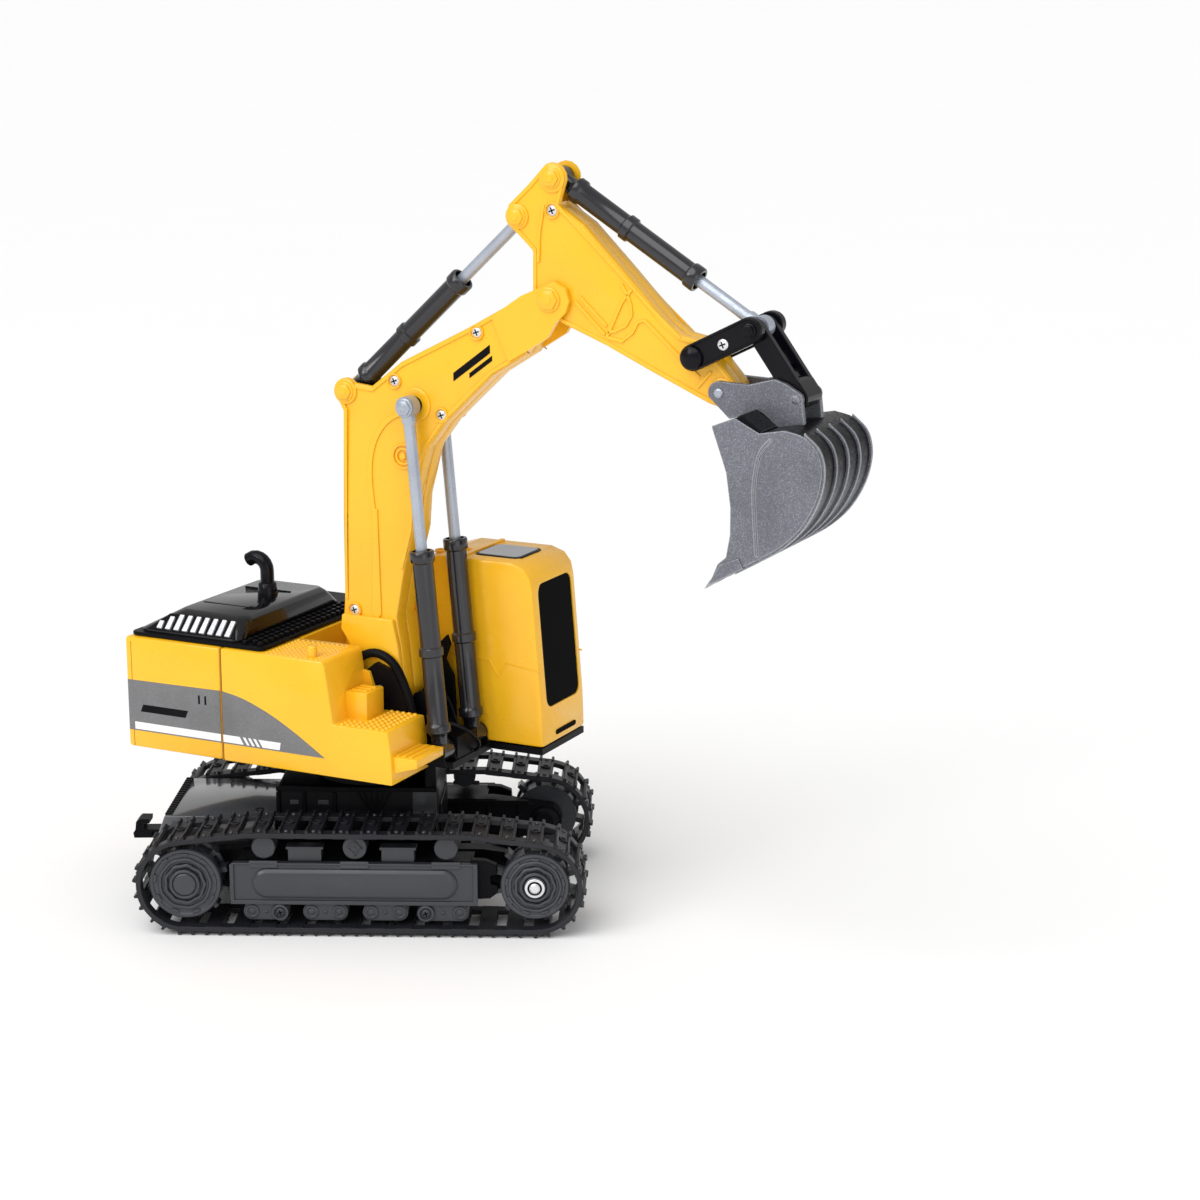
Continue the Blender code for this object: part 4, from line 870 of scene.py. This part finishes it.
def make_machinery():
    """Brackets, ribs and short hoses in the gap in front of the boom foot."""
    parts = Shape()
    arch = ((1, 100), (5, 108.5), (14, 113), (23, 109.5), (29, 99), (32.5, 87), (34, 76))
    for y, lift in ((-20, 0), (4.2, -3)):
        parts.pipe(smooth_through([Vector((x, y, z + lift)) for x, z in arch], 5), 1.9, 16)
    parts.turned([(3, 0), (3, 2), (2.4, 2.6), (0, 2.8)], (17, 12, 77), (0, -1, 0), 28)
    plate = [(27, 100), (30, 113), (34, 117), (35.5, 113), (33, 106), (37, 99), (38, 72), (26, 72)]
    parts.prism(plate, 6.4, 8.2)
    for y in (-15, -8, -1):
        parts.prism([(28, 70.4), (30, 96), (34, 98), (40, 88), (43, 70.4)], y - 0.7, y + 0.7)
    parts.box((36, -17, 70.4), (41, 1, 84))
    for y in (BOOM_Y - LIFT_OFFSET, BOOM_Y + LIFT_OFFSET):
        for offset in (-4.9, 4.1):
            ear = arc((LIFT_FOOT.x, LIFT_FOOT.z), 4.6, -20, 200, 10) + [(41, 69.5), (52, 69.5)]
            parts.prism(ear, y + offset, y + offset + 0.8)
    parts.done("front_brackets", "house", BLACK, 0.3, 2)
    hoses = Shape()
    routes = (
        [(44, -17, 86), (49, -14, 84.5), (54, -9, 80), (55.5, -5, 75), (52.5, -3, 71), (47, -6, 70.6)],
        [(38, -13, 95), (42, -12, 88), (45, -10.5, 80.5), (46, -9.5, 74), (49, -9, 70.9)],
        [(36, -3, 97), (40.5, -3, 90), (44, -4, 83), (47, -3, 77), (51, -1, 71)])
    for route in routes:
        hoses.pipe(smooth_through([Vector(p) for p in route], 5), 0.75, 10)
    hoses.done("short_hoses", "house", GLOSS_BLACK)


# ---------------------------------------------------------------- cab


def make_cab():
    dress("cab_shell", YELLOW)
    dress("windscreen", SCREEN)
    dress("roof_window", ROOF_GLASS)
    right_y, left_y = 12.3, 52.3

    seam = Shape()
    line = [(22, 109.4), (51.2, 106.5), (55.8, 99.5), (59.3, 106.2), (75, 104.4)]
    for side, y in ((-1, right_y), (1, left_y)):
        span = (y - 0.25, y + 0.3) if side < 0 else (y - 0.3, y + 0.25)
        for a, b in zip(line, line[1:]):
            seam.prism(stadium(a, b, 0.35, 4), *span)
    seam.done("cab_seams", "house", YELLOW, 0.15, 2)

    dark = Shape()
    dark.prism(stadium((25.5, 74.6), (42, 74.6), 1.1, 8), 76.2, 76.95, "X")
    window = [(20, 112), (22.5, 139), (29, 145.2), (58, 145.2), (65, 141), (68.6, 112)]
    dark.prism(window, left_y - 0.2, left_y + 0.28)
    dark.prism([(20, 80), (20, 108), (46, 108), (46, 80)], left_y - 0.2, left_y + 0.1)
    dark.done("cab_dark_panels", "house", SCREEN, 0.1, 2)

    trim = Shape()
    trim.box((37, 14.5, 149.6), (39.2, 50, 150.9))
    for x, y in ((24.5, 20), (24.5, 34), (31.5, 27)):
        ring = [(3.2, 149.5), (3.2, 150.6), (2.4, 150.6), (2.4, 149.9), (0, 149.9)]
        trim.turned(ring, (x, y, 0), (0, 0, 1), 28)
    trim.done("cab_roof_trim", "house", YELLOW, 0.3, 2)
    rim = Shape()
    rim.prism(rounded_rectangle((39.8, 19.3), (62.2, 42.2), 3.6, 6), 149.7, 150.3, "Z")
    rim.done("roof_window_bed", "house", BLACK, 0.2, 2)
    glass = Shape()
    glass.prism(rounded_rectangle((41, 20.5), (61, 41), 3, 6), 150.1, 150.6, "Z")
    glass.done("roof_window_lens", "house", ROOF_GLASS, 0.2, 2)


# ---------------------------------------------------------------- boom and arm


def boom_outline():
    points = arc(xz(BOOM_PIVOT), 9.5, 190, 380, 8)
    points += [(24.5, 116), (22.5, 128.2), (26.6, 149.1), (31.3, 165.8), (32.4, 179.7), (36.6, 195.2)]
    points += [(38.5, 201.2), (46.8, 212.1), (54.9, 219.8), (69.2, 233.2), (84, 242.4)]
    points += arc(xz(ARM_PIVOT), 17, 242, 187, 4)
    points += [(58.9, 252.2), (26.6, 235.9), (12.5, 225)]
    points += arc(xz(STICK_FOOT), 5.6, 40, 190, 6)
    points += [(-0.9, 214), (-2.1, 170.9), (-2.8, 133.8), (-3.9, 121.2), (4.5, 108.5)]
    return points


def cupped_screws(name, body, side, spots):
    """Screws in raised cups; each spot is x, the cup's foot measured from the middle plane, and z."""
    out = (0, side, 0)
    heads, slots, cups = Shape(), Shape(), Shape()
    for x, offset, z in spots:
        at = Vector((x, BOOM_Y + offset, z))
        cups.turned([(3.2, 0), (3.2, 1), (2.9, 1.2), (2.6, 1), (2.6, 0.25), (0, 0.25)], at, out, 30)
        screw(heads, slots, at, out, 2.2)
    cups.done(f"{name}_{body}_screw_cups", body, YELLOW)
    heads.done(f"{name}_{body}_screws", body, STEEL)
    slots.done(f"{name}_{body}_screw_slots", body, BLACK)


def face_span(side, half_width, low, high):
    """The y span of a detail on a face of the boom or arm, low and high measured out from that face."""
    return tuple(sorted((BOOM_Y + side * (half_width + low), BOOM_Y + side * (half_width + high))))


def beside(point, offset):
    """The point moved square to the middle plane of the boom and arm, to a distance from that plane."""
    return Vector((point.x, BOOM_Y + offset, point.z))


def bolt_pair(shape, point, reach, radius):
    """A domed hexagon head on a round flange, on each side of the middle plane."""
    for side in (-1, 1):
        at, out = beside(point, side * reach), (0, side, 0)
        shape.turned([(radius * 1.18, 0), (radius * 1.18, 0.5), (radius, 0.8), (0, 0.8)], at, out, 32)
        shape.turned([(radius, 0.6), (radius, 1.5), (radius * 0.8, 1.9), (0, 1.9)], at, out, 6)
        shape.turned([(radius * 0.45, 1.8), (radius * 0.45, 2.1), (0, 2.2)], at, out, 20)


def cross_pin(shape, point, half_width):
    """A pin through the middle plane."""
    shape.bar(beside(point, -half_width), beside(point, half_width), 1.6)


FOOT_TOP, FOOT_HALF = 131, 7.6
BOOM_SCREWS = ((2.4, 129.5), (23.7, 228), (62.3, 250.3), (45.6, 215.4))


def make_boom():
    half = 7.5
    for side, name in SIDES:
        dress(name + "_boom_shell", YELLOW)
        out = Vector((0, side, 0))
        outline = boom_outline()
        relief = Shape()
        span = face_span(side, half, -0.3, 0.55)
        upper = [p for p in inset(outline, 0.5) if p[1] > 129]
        inner = [p for p in inset(outline, 2.1) if p[1] > 129]
        count = min(len(upper), len(inner))
        for k in range(count - 1):
            relief.prism([upper[k], upper[k + 1], inner[k + 1], inner[k]], *span)
        span = face_span(side, half, -0.3, 0.8)
        strap = arc((13.2, 129.5), 2.3, 180, 360, 8) + [(14.5, 173.9), (12.1, 173.9)]
        relief.prism(strap, *span)
        relief.done(name + "_boom_relief", "boom", YELLOW, 0.35, 2, sharp=50)

        ribs = Shape()
        path = [(27.9, 215.7), (20.4, 211.6), (15, 205.1), (11.9, 196.5), (11.2, 186), (12.6, 171.5)]
        ribs.prism(ribbon(smooth_through(path, 5), 1.1), *face_span(side, half, -0.3, 0.7))
        ribs.done(name + "_boom_band", "boom", YELLOW, 0.3, 2)

        rings = Shape()
        at = Vector((27.5, BOOM_Y + side * half, 197.1))
        for radius in (5.4, 3.6):
            bore = radius - 0.9
            profile = [(radius, -0.2), (radius, 0.9), (radius - 0.5, 1), (bore, 0.9), (bore, -0.2)]
            rings.turned(profile, at, out, 36)
        rings.turned([(1.5, -0.2), (1.5, 1.2), (1.1, 1.5), (0, 1.5)], at, out, 24)
        for point, radius in ((LIFT_EYE, 7), (STICK_FOOT, 5.4)):
            profile = [(radius, -0.2), (radius, 0.6), (radius - 0.5, 1), (radius - 2.2, 1), (0, 1)]
            rings.turned(profile, beside(point, side * half), out, 36)
        rings.done(name + "_boom_bosses", "boom", YELLOW, 0.15, 2)

        cupped_screws(name, "boom", side, [
            (x, side * FOOT_HALF if z < FOOT_TOP else side * (half - 0.2), z) for x, z in BOOM_SCREWS])

        notch = Shape()
        path = [(74.8, 260.3), (76.7, 257), (81.7, 258), (84.8, 255.4), (84.4, 250.6), (82, 247.7), (83.5, 245),
                (86.2, 243.1)]
        notch.prism(ribbon(path, 0.22), *face_span(side, half, -0.1, 0.12))
        notch.done(name + "_boom_tip_joint", "boom", SEAM)

        badge = Shape()
        span = face_span(side, half, 0, 0.18)
        run = Matrix.Translation((60.2, 0, 238)) @ Matrix.Rotation(math.radians(-36.5), 4, "Y")
        badge.prism([(-12, -1.4), (9, -1.4), (11, 1.4), (-10, 1.4)], *span, "Y", run)
        badge.prism([(-5, -4.4), (8, -4.4), (9.2, -2.7), (-3.8, -2.7)], *span, "Y", run)
        badge.done(name + "_boom_stripes", "boom", BLACK)

    bolts = Shape()
    bolt_pair(bolts, ARM_PIVOT, 9.3, 4.3)
    bolt_pair(bolts, STICK_FOOT, 8.4, 3.5)
    bolts.done("boom_bolts", "boom", YELLOW, 0.2, 2, replaces=("arm_pivot_pin", "stick_foot_pin"))
    silver = Shape()
    cross_pin(silver, LIFT_EYE, LIFT_OFFSET + 3)
    bolt_pair(silver, LIFT_EYE, LIFT_OFFSET + 2.8, 3.4)
    silver.done("lift_eye_bolts", "boom", SILVER, 0.2, 2, replaces=("lift_eye_pin",))
    spacer = Shape()
    ring = [(3.6, 8.4), (3.6, 11.1), (2.2, 11.1), (2.2, 8.4), (3.6, 8.4)]
    for side in (-1, 1):
        spacer.turned(ring, beside(LIFT_EYE, 0), (0, side, 0), 28)
    spacer.done("lift_eye_spacers", "boom", BLACK, 0.2, 2)


def arm_outline():
    points = [(76.5, 301.5), (75.4, 297), (77.5, 292.5), (80.8, 290), (87.3, 283.8), (87.2, 277.9)]
    points += arc(xz(ARM_PIVOT), 8.8, 165, 285, 6)
    points += [(119.6, 248.3), (138.3, 239.7), (163.5, 228.6)]
    points += arc(xz(BUCKET_PIVOT), 6.4, 245, 395, 6)
    points += [(166.3, 246.7), (162.2, 252.2), (151.7, 254.2), (145.3, 258.9), (127.5, 277.3), (109.6, 295.1)]
    points += [(99.3, 301.8)]
    points += arc(xz(CURL_FOOT), 6.2, -30, 120, 6)
    points += [(85.2, 309.6)]
    return points


ARM_RIDGES = (
    [(92.5, 302), (90.5, 291), (90, 279.5)],
    [(98, 302.5), (104, 297), (126.7, 276), (138.5, 264.6), (151.8, 253)],
    [(126.3, 273), (128.9, 268.8), (130.4, 264.9), (130.8, 260.9), (128.2, 256.7), (123.7, 254.4),
     (120, 253.5)],
    [(130.8, 271), (126.7, 266), (122.2, 256.3), (120, 251.6)],
    [(106.2, 265), (119.2, 252.6)],
    [(108.2, 267), (120, 256)],
    [(120.4, 251.6), (126.7, 250.5), (131.2, 254.2), (133.4, 258.3), (136.4, 259.2), (160, 238.4)],
    [(158.8, 234.3), (164.8, 241)])


def make_arm():
    half = 6.7
    for side, name in SIDES:
        dress(name + "_arm_shell", YELLOW)
        out = Vector((0, side, 0))
        relief = Shape()
        span = face_span(side, half, -0.3, 0.5)
        outer, inner = inset(arm_outline(), 0.5), inset(arm_outline(), 2)
        relief.frame(outer, inner, *span)
        relief.done(name + "_arm_rim", "arm", YELLOW, 0.3, 2, sharp=50)
        ridges = Shape()
        span = face_span(side, half, -0.2, 0.75)
        for line in ARM_RIDGES:
            ridges.prism(ribbon(line, 0.65), *span)
        ridges.done(name + "_arm_ridges", "arm", YELLOW, 0.25, 2)
        bosses = Shape()
        for point, radius in ((STICK_EYE, 5), (CURL_FOOT, 5.6)):
            profile = [(radius, -0.2), (radius, 0.7), (radius - 0.6, 1), (0, 1)]
            bosses.turned(profile, beside(point, side * half), out, 36)
        profile = [(5.6, -0.2), (5.6, 1.1), (4.9, 1.4), (0, 1.4)]
        bosses.turned(profile, beside(BUCKET_PIVOT, side * half), out, 36)
        bosses.done(name + "_arm_bosses", "arm", YELLOW, 0.15, 2)
        cupped_screws(name, "arm", side, [(96.2, side * (half - 0.2), 300)])
    bolts = Shape()
    for point in (STICK_EYE, CURL_FOOT):
        bolt_pair(bolts, point, 7.6, 3.5)
    bolts.done("arm_bolts", "arm", YELLOW, 0.2, 2, replaces=("stick_eye_pin", "curl_foot_pin"))
    pins = Shape()
    cross_pin(pins, BUCKET_PIVOT, 10.9)
    for side in (-1, 1):
        pins.dome(beside(BUCKET_PIVOT, side * 10.8), (0, side, 0), 1.9, 0.5, 20)
    pins.done("bucket_bolts", "arm", SILVER, 0.15, 2, replaces=("bucket_pin",))
    dress("rocker_pin", STEEL)


# ---------------------------------------------------------------- cylinders


def make_barrel(name, foot, eye, length):
    """A barrel with collars, a chamfered gland and an open mouth."""
    reach = (eye - foot).normalized()
    tube = Shape()
    middle = length * 0.5
    profile = [
        (0, 3), (3.4, 3), (3.6, 6.5), (4.7, 8), (5.2, 8.4), (5.2, 11.2), (4.7, 11.8), (4.4, 12.2),
        (4.4, middle - 2.2), (4.8, middle - 1.9), (5.2, middle - 1.5), (5.2, middle + 1.5), (4.8, middle + 1.9),
        (4.4, middle + 2.2), (4.4, length - 5.2), (4.9, length - 4.8), (5.2, length - 4.2), (5.2, length - 0.5),
        (4.8, length), (3.95, length), (3.9, length - 6), (0, length - 6)]
    tube.turned(profile, foot, reach, 48)
    tube.bar(foot + Vector((0, -4, 0)), foot + Vector((0, 4, 0)), 4.4, 36)
    tube.done(name + "_tube", name, BARREL_GREY, replaces=(name,), sharp=40)


def make_rod(name, foot, eye, start, half_width):
    """A rod from its eye to inside the barrel, whose foot it points at."""
    reach = (foot - eye).normalized()
    length = (foot - eye).length - start
    rod = Shape()
    rod.turned([(0, 3), (3, 3), (3.1, 6), (2.5, 7.2), (2.4, 7.6), (2.4, length), (0, length)], eye, reach, 36)
    wide = Vector((0, half_width, 0))
    rod.bar(eye - wide, eye + wide, 4.4, 36)
    rod.done(name + "_shaft", name, SILVER, replaces=(name,), sharp=40)


def make_cylinders():
    for side, name in SIDES:
        foot, eye = beside(LIFT_FOOT, side * LIFT_OFFSET), beside(LIFT_EYE, side * LIFT_OFFSET)
        make_barrel(name + "_lift_barrel", foot, eye, 85)
        make_rod(name + "_lift_rod", foot, eye, 34, 2.6)
    make_barrel("stick_barrel", STICK_FOOT, STICK_EYE, 71)
    make_rod("stick_rod", STICK_FOOT, STICK_EYE, 27, 3.2)
    make_barrel("curl_barrel", CURL_FOOT, LINK_PIVOT, 71)
    make_rod("curl_rod", CURL_FOOT, LINK_PIVOT, 30, 3.2)


# ---------------------------------------------------------------- bucket linkage and bucket

BUCKET_LINK = Vector((201, BOOM_Y, 233))


def make_links():
    for side, name in SIDES:
        out = Vector((0, side, 0))
        link = Shape()
        plate, outer, inner = (stadium(xz(ROCKER_PIVOT), xz(LINK_PIVOT), radius, 16) for radius in (5.2, 5, 4))
        link.prism(plate, *face_span(side, 0, 8.6, 12.4))
        link.frame(outer, inner, *face_span(side, 0, 12.2, 13.2))
        link.dome(beside(ROCKER_PIVOT, side * 12.4), out, 5, 2.6, 32)
        link.done(name + "_rocker_arm", "rocker", GLOSS_BLACK, 0.5, 3, replaces=(name + "_rocker_link",))
        heads, slots = Shape(), Shape()
        middle = (ROCKER_PIVOT + LINK_PIVOT) / 2
        screw(heads, slots, Vector((middle.x + 1.2, BOOM_Y + side * 12.4, middle.z)), out, 2.2)
        heads.done(name + "_rocker_screw", "rocker", STEEL)
        slots.done(name + "_rocker_screw_slot", "rocker", BLACK)
    sleeve = Shape()
    cross_pin(sleeve, LINK_PIVOT, 12.8)
    bolt_pair(sleeve, LINK_PIVOT, 12.6, 2.6)
    sleeve.done("link_bolts", "rocker", GLOSS_BLACK, 0.15, 2, replaces=("link_pin",))

    push = Shape()
    rail = stadium(xz(LINK_PIVOT), xz(BUCKET_LINK), 3.9, 14)
    for side in (-1, 1):
        push.prism(rail, *face_span(side, 0, 4.2, 7.6))
        push.dome(beside(BUCKET_LINK, side * 7.6), (0, side, 0), 2.4, 0.3, 24)
    along = BUCKET_LINK - LINK_PIVOT
    for start, end, radius in ((0.42, 0.55, 2), (0.7, 0.84, 2.4)):
        a, b = LINK_PIVOT + along * start, LINK_PIVOT + along * end
        push.prism(stadium(xz(a), xz(b), radius, 8), BOOM_Y - 5.5, BOOM_Y + 5.5)
    push.prism(stadium(xz(LINK_PIVOT + along * 0.86), xz(BUCKET_LINK), 4.1, 14), BOOM_Y - 7.4, BOOM_Y + 7.4)
    push.done("push_link_frame", "push_link", GLOSS_BLACK, 0.4, 2, replaces=("push_link",))


def bucket_back():
    return [(183, 227.2), (193, 222), (203.3, 223.9), (211, 222), (216.5, 217), (218.6, 210),
            (217.8, 202), (214.8, 194), (209.5, 185.8), (202, 178.8), (193.5, 173.4), (184, 168),
            (172.8, 161.3)]


def make_bucket():
    low, high = BOOM_Y - 26, BOOM_Y + 26
    wall = 2.2
    curve = bucket_back()[:2] + smooth_through(bucket_back()[2:], 5)
    front = [(176.5, 170), (179.9, 173), (181.5, 182), (181.5, 192.7), (179.6, 206), (175.5, 217.5)]
    cheeks = Shape()
    for y in (low, high - wall):
        cheeks.prism(curve + front + [(173.4, 223.3)], y, y + wall)
    for side, y in ((-1, low), (1, high)):
        span = sorted((y - side * 0.2, y + side * 0.7))
        rib = smooth_through([(198, 220), (194.1, 215.5), (192.2, 209.5), (191.2, 199.9), (191.7, 188.9),
                              (192.8, 174.6)], 4)
        cheeks.prism(ribbon(rib, 0.7), *span)
    cheeks.done("bucket_cheeks", "bucket", BUCKET_GREY, 0.4, 2, replaces=("bucket",), sharp=40)

    back = Shape()
    sheet = curve[1:]
    under = inset(curve + [(172, 190)], wall)[1:-1]
    count = min(len(sheet), len(under))
    closed = sheet[:count] + list(reversed(under[:count]))
    back.prism(closed, low + 0.2, high - 0.2)
    ribbed = smooth_through(bucket_back()[3:-1], 5)
    raised = inset(ribbed + [(172, 190)], -1.1)[:-1]
    lowered = inset(ribbed + [(172, 190)], 0.4)[:-1]
    back.done("bucket_back", "bucket", BUCKET_BACK_PAINTED_REFLECTION, 0.35, 2, sharp=40)
    ribs = Shape()
    for k in range(5):
        y = low + 1 + (high - low - 2) * k / 4
        ribs.prism(raised + list(reversed(lowered)), y - 0.55, y + 0.55)
    ribs.done("bucket_back_ribs", "bucket", BUCKET_GREY, 0.2, 2, sharp=40)

    teeth = Shape()
    for k in range(5):
        y = low + 3 + k * 11.5
        tooth = [(180.5, 167.3), (178, 164.1), (170.6, 159.4), (172.6, 162.6), (179.2, 170.6)]
        teeth.prism(tooth, y - 2.2, y + 2.2)
    for edge in (low - 0.7, high + 0.7 - wall):
        teeth.prism([(172.4, 161.1), (177.9, 170.3), (185.4, 173.3), (187.5, 169.4)], edge, edge + wall)
    teeth.done("bucket_teeth", "bucket", BUCKET_GREY, 0.3, 2)

    ears = Shape()
    outline = arc(xz(BUCKET_PIVOT), 4.6, 200, 90, 6) + [(181.8, 237.6), (192.5, 240.4), (197.2, 238.9)]
    outline += arc(xz(BUCKET_LINK), 3.2, 60, -20, 6) + [(205, 223.7), (195.9, 221), (187.2, 227.6),
                                                        (174, 223.8)]
    for side in (-1, 1):
        ears.prism(outline, *face_span(side, 0, 8, 10.5))
        ears.dome(beside(BUCKET_LINK, side * 10.5), (0, side, 0), 1.7, 0.9, 24)
    cross_pin(ears, BUCKET_LINK, 9)
    ears.done("bucket_ears", "bucket", BUCKET_GREY, 0.35, 2)
    plate = Shape()
    hinge = [(175, 222), (185.6, 228.6), (194.3, 222.6), (190, 219), (185, 220)]
    plate.prism(hinge, low + 0.4, BOOM_Y - 10.6)
    plate.prism(hinge, BOOM_Y + 10.6, high - 0.4)
    plate.done("bucket_top_plate", "bucket", BUCKET_BACK_PAINTED_REFLECTION, 0.35, 2)


# ---------------------------------------------------------------- stage


def make_stage():
    bpy.ops.mesh.primitive_plane_add(size=240, location=(0, 0, -0.0002))
    floor = bpy.context.object
    floor.name = "studio_floor"
    look = Look("studio_white", (0.95, 0.95, 0.95), 0.75)
    look.tint(look.band(look.noise(3), 0.3, 0.7, 0, 0.3), (0.93, 0.93, 0.93))
    floor.data.materials.append(look.material)

    world = bpy.data.worlds.new("studio")
    bpy.context.scene.world = world
    world.use_nodes = True
    world.node_tree.nodes["Background"].inputs["Color"].default_value = (1, 1, 1, 1)
    world.node_tree.nodes["Background"].inputs["Strength"].default_value = 0.62

    sun = bpy.data.lights.new("soft_key", "SUN")
    sun.energy = 1.85
    sun.angle = math.radians(60)
    sun_lamp = bpy.data.objects.new("soft_key", sun)
    sun_lamp.rotation_euler = Vector((0.45, 0.6, -0.9)).to_track_quat("-Z", "Y").to_euler()
    bpy.context.scene.collection.objects.link(sun_lamp)

    lights = (("front", (0.7, -1.6, 0.5), 1.2, 3), ("left_strip", (-1.2, -1, 0.9), 0.5, 2.5))
    for name, place, size, power in lights:
        light = bpy.data.lights.new(name, "AREA")
        light.shape = "DISK"
        light.size = size
        light.energy = power
        lamp = bpy.data.objects.new(name, light)
        lamp.location = place
        lamp.rotation_euler = (Vector((0, 0, 0.12)) - Vector(place)).to_track_quat("-Z", "Y").to_euler()
        bpy.context.scene.collection.objects.link(lamp)


def make_camera():
    """Stands to the machine's right and a little above, at the viewing angle of a product shot."""
    camera = bpy.data.cameras.new("camera")
    camera.lens = 78
    camera.sensor_width = 36
    camera.clip_start = 0.05
    camera.clip_end = 400
    stand = bpy.data.objects.new("camera", camera)
    turn, drop, distance = math.radians(1.5), math.radians(13.5), 1.108
    look = Vector((-math.sin(turn) * math.cos(drop), math.cos(turn) * math.cos(drop), -math.sin(drop)))
    target = Vector((SWING.x + 0.0985, SWING.y, 0.1306))
    stand.location = target - look * distance
    stand.rotation_euler = look.to_track_quat("-Z", "Y").to_euler()
    bpy.context.scene.collection.objects.link(stand)
    bpy.context.scene.camera = stand


make_camera()
make_stage()
make_tracks()
make_chassis()
make_house()
make_cab()
make_boom()
make_arm()
make_cylinders()
make_links()
make_bucket()
bpy.context.scene.view_settings.view_transform = "Standard"
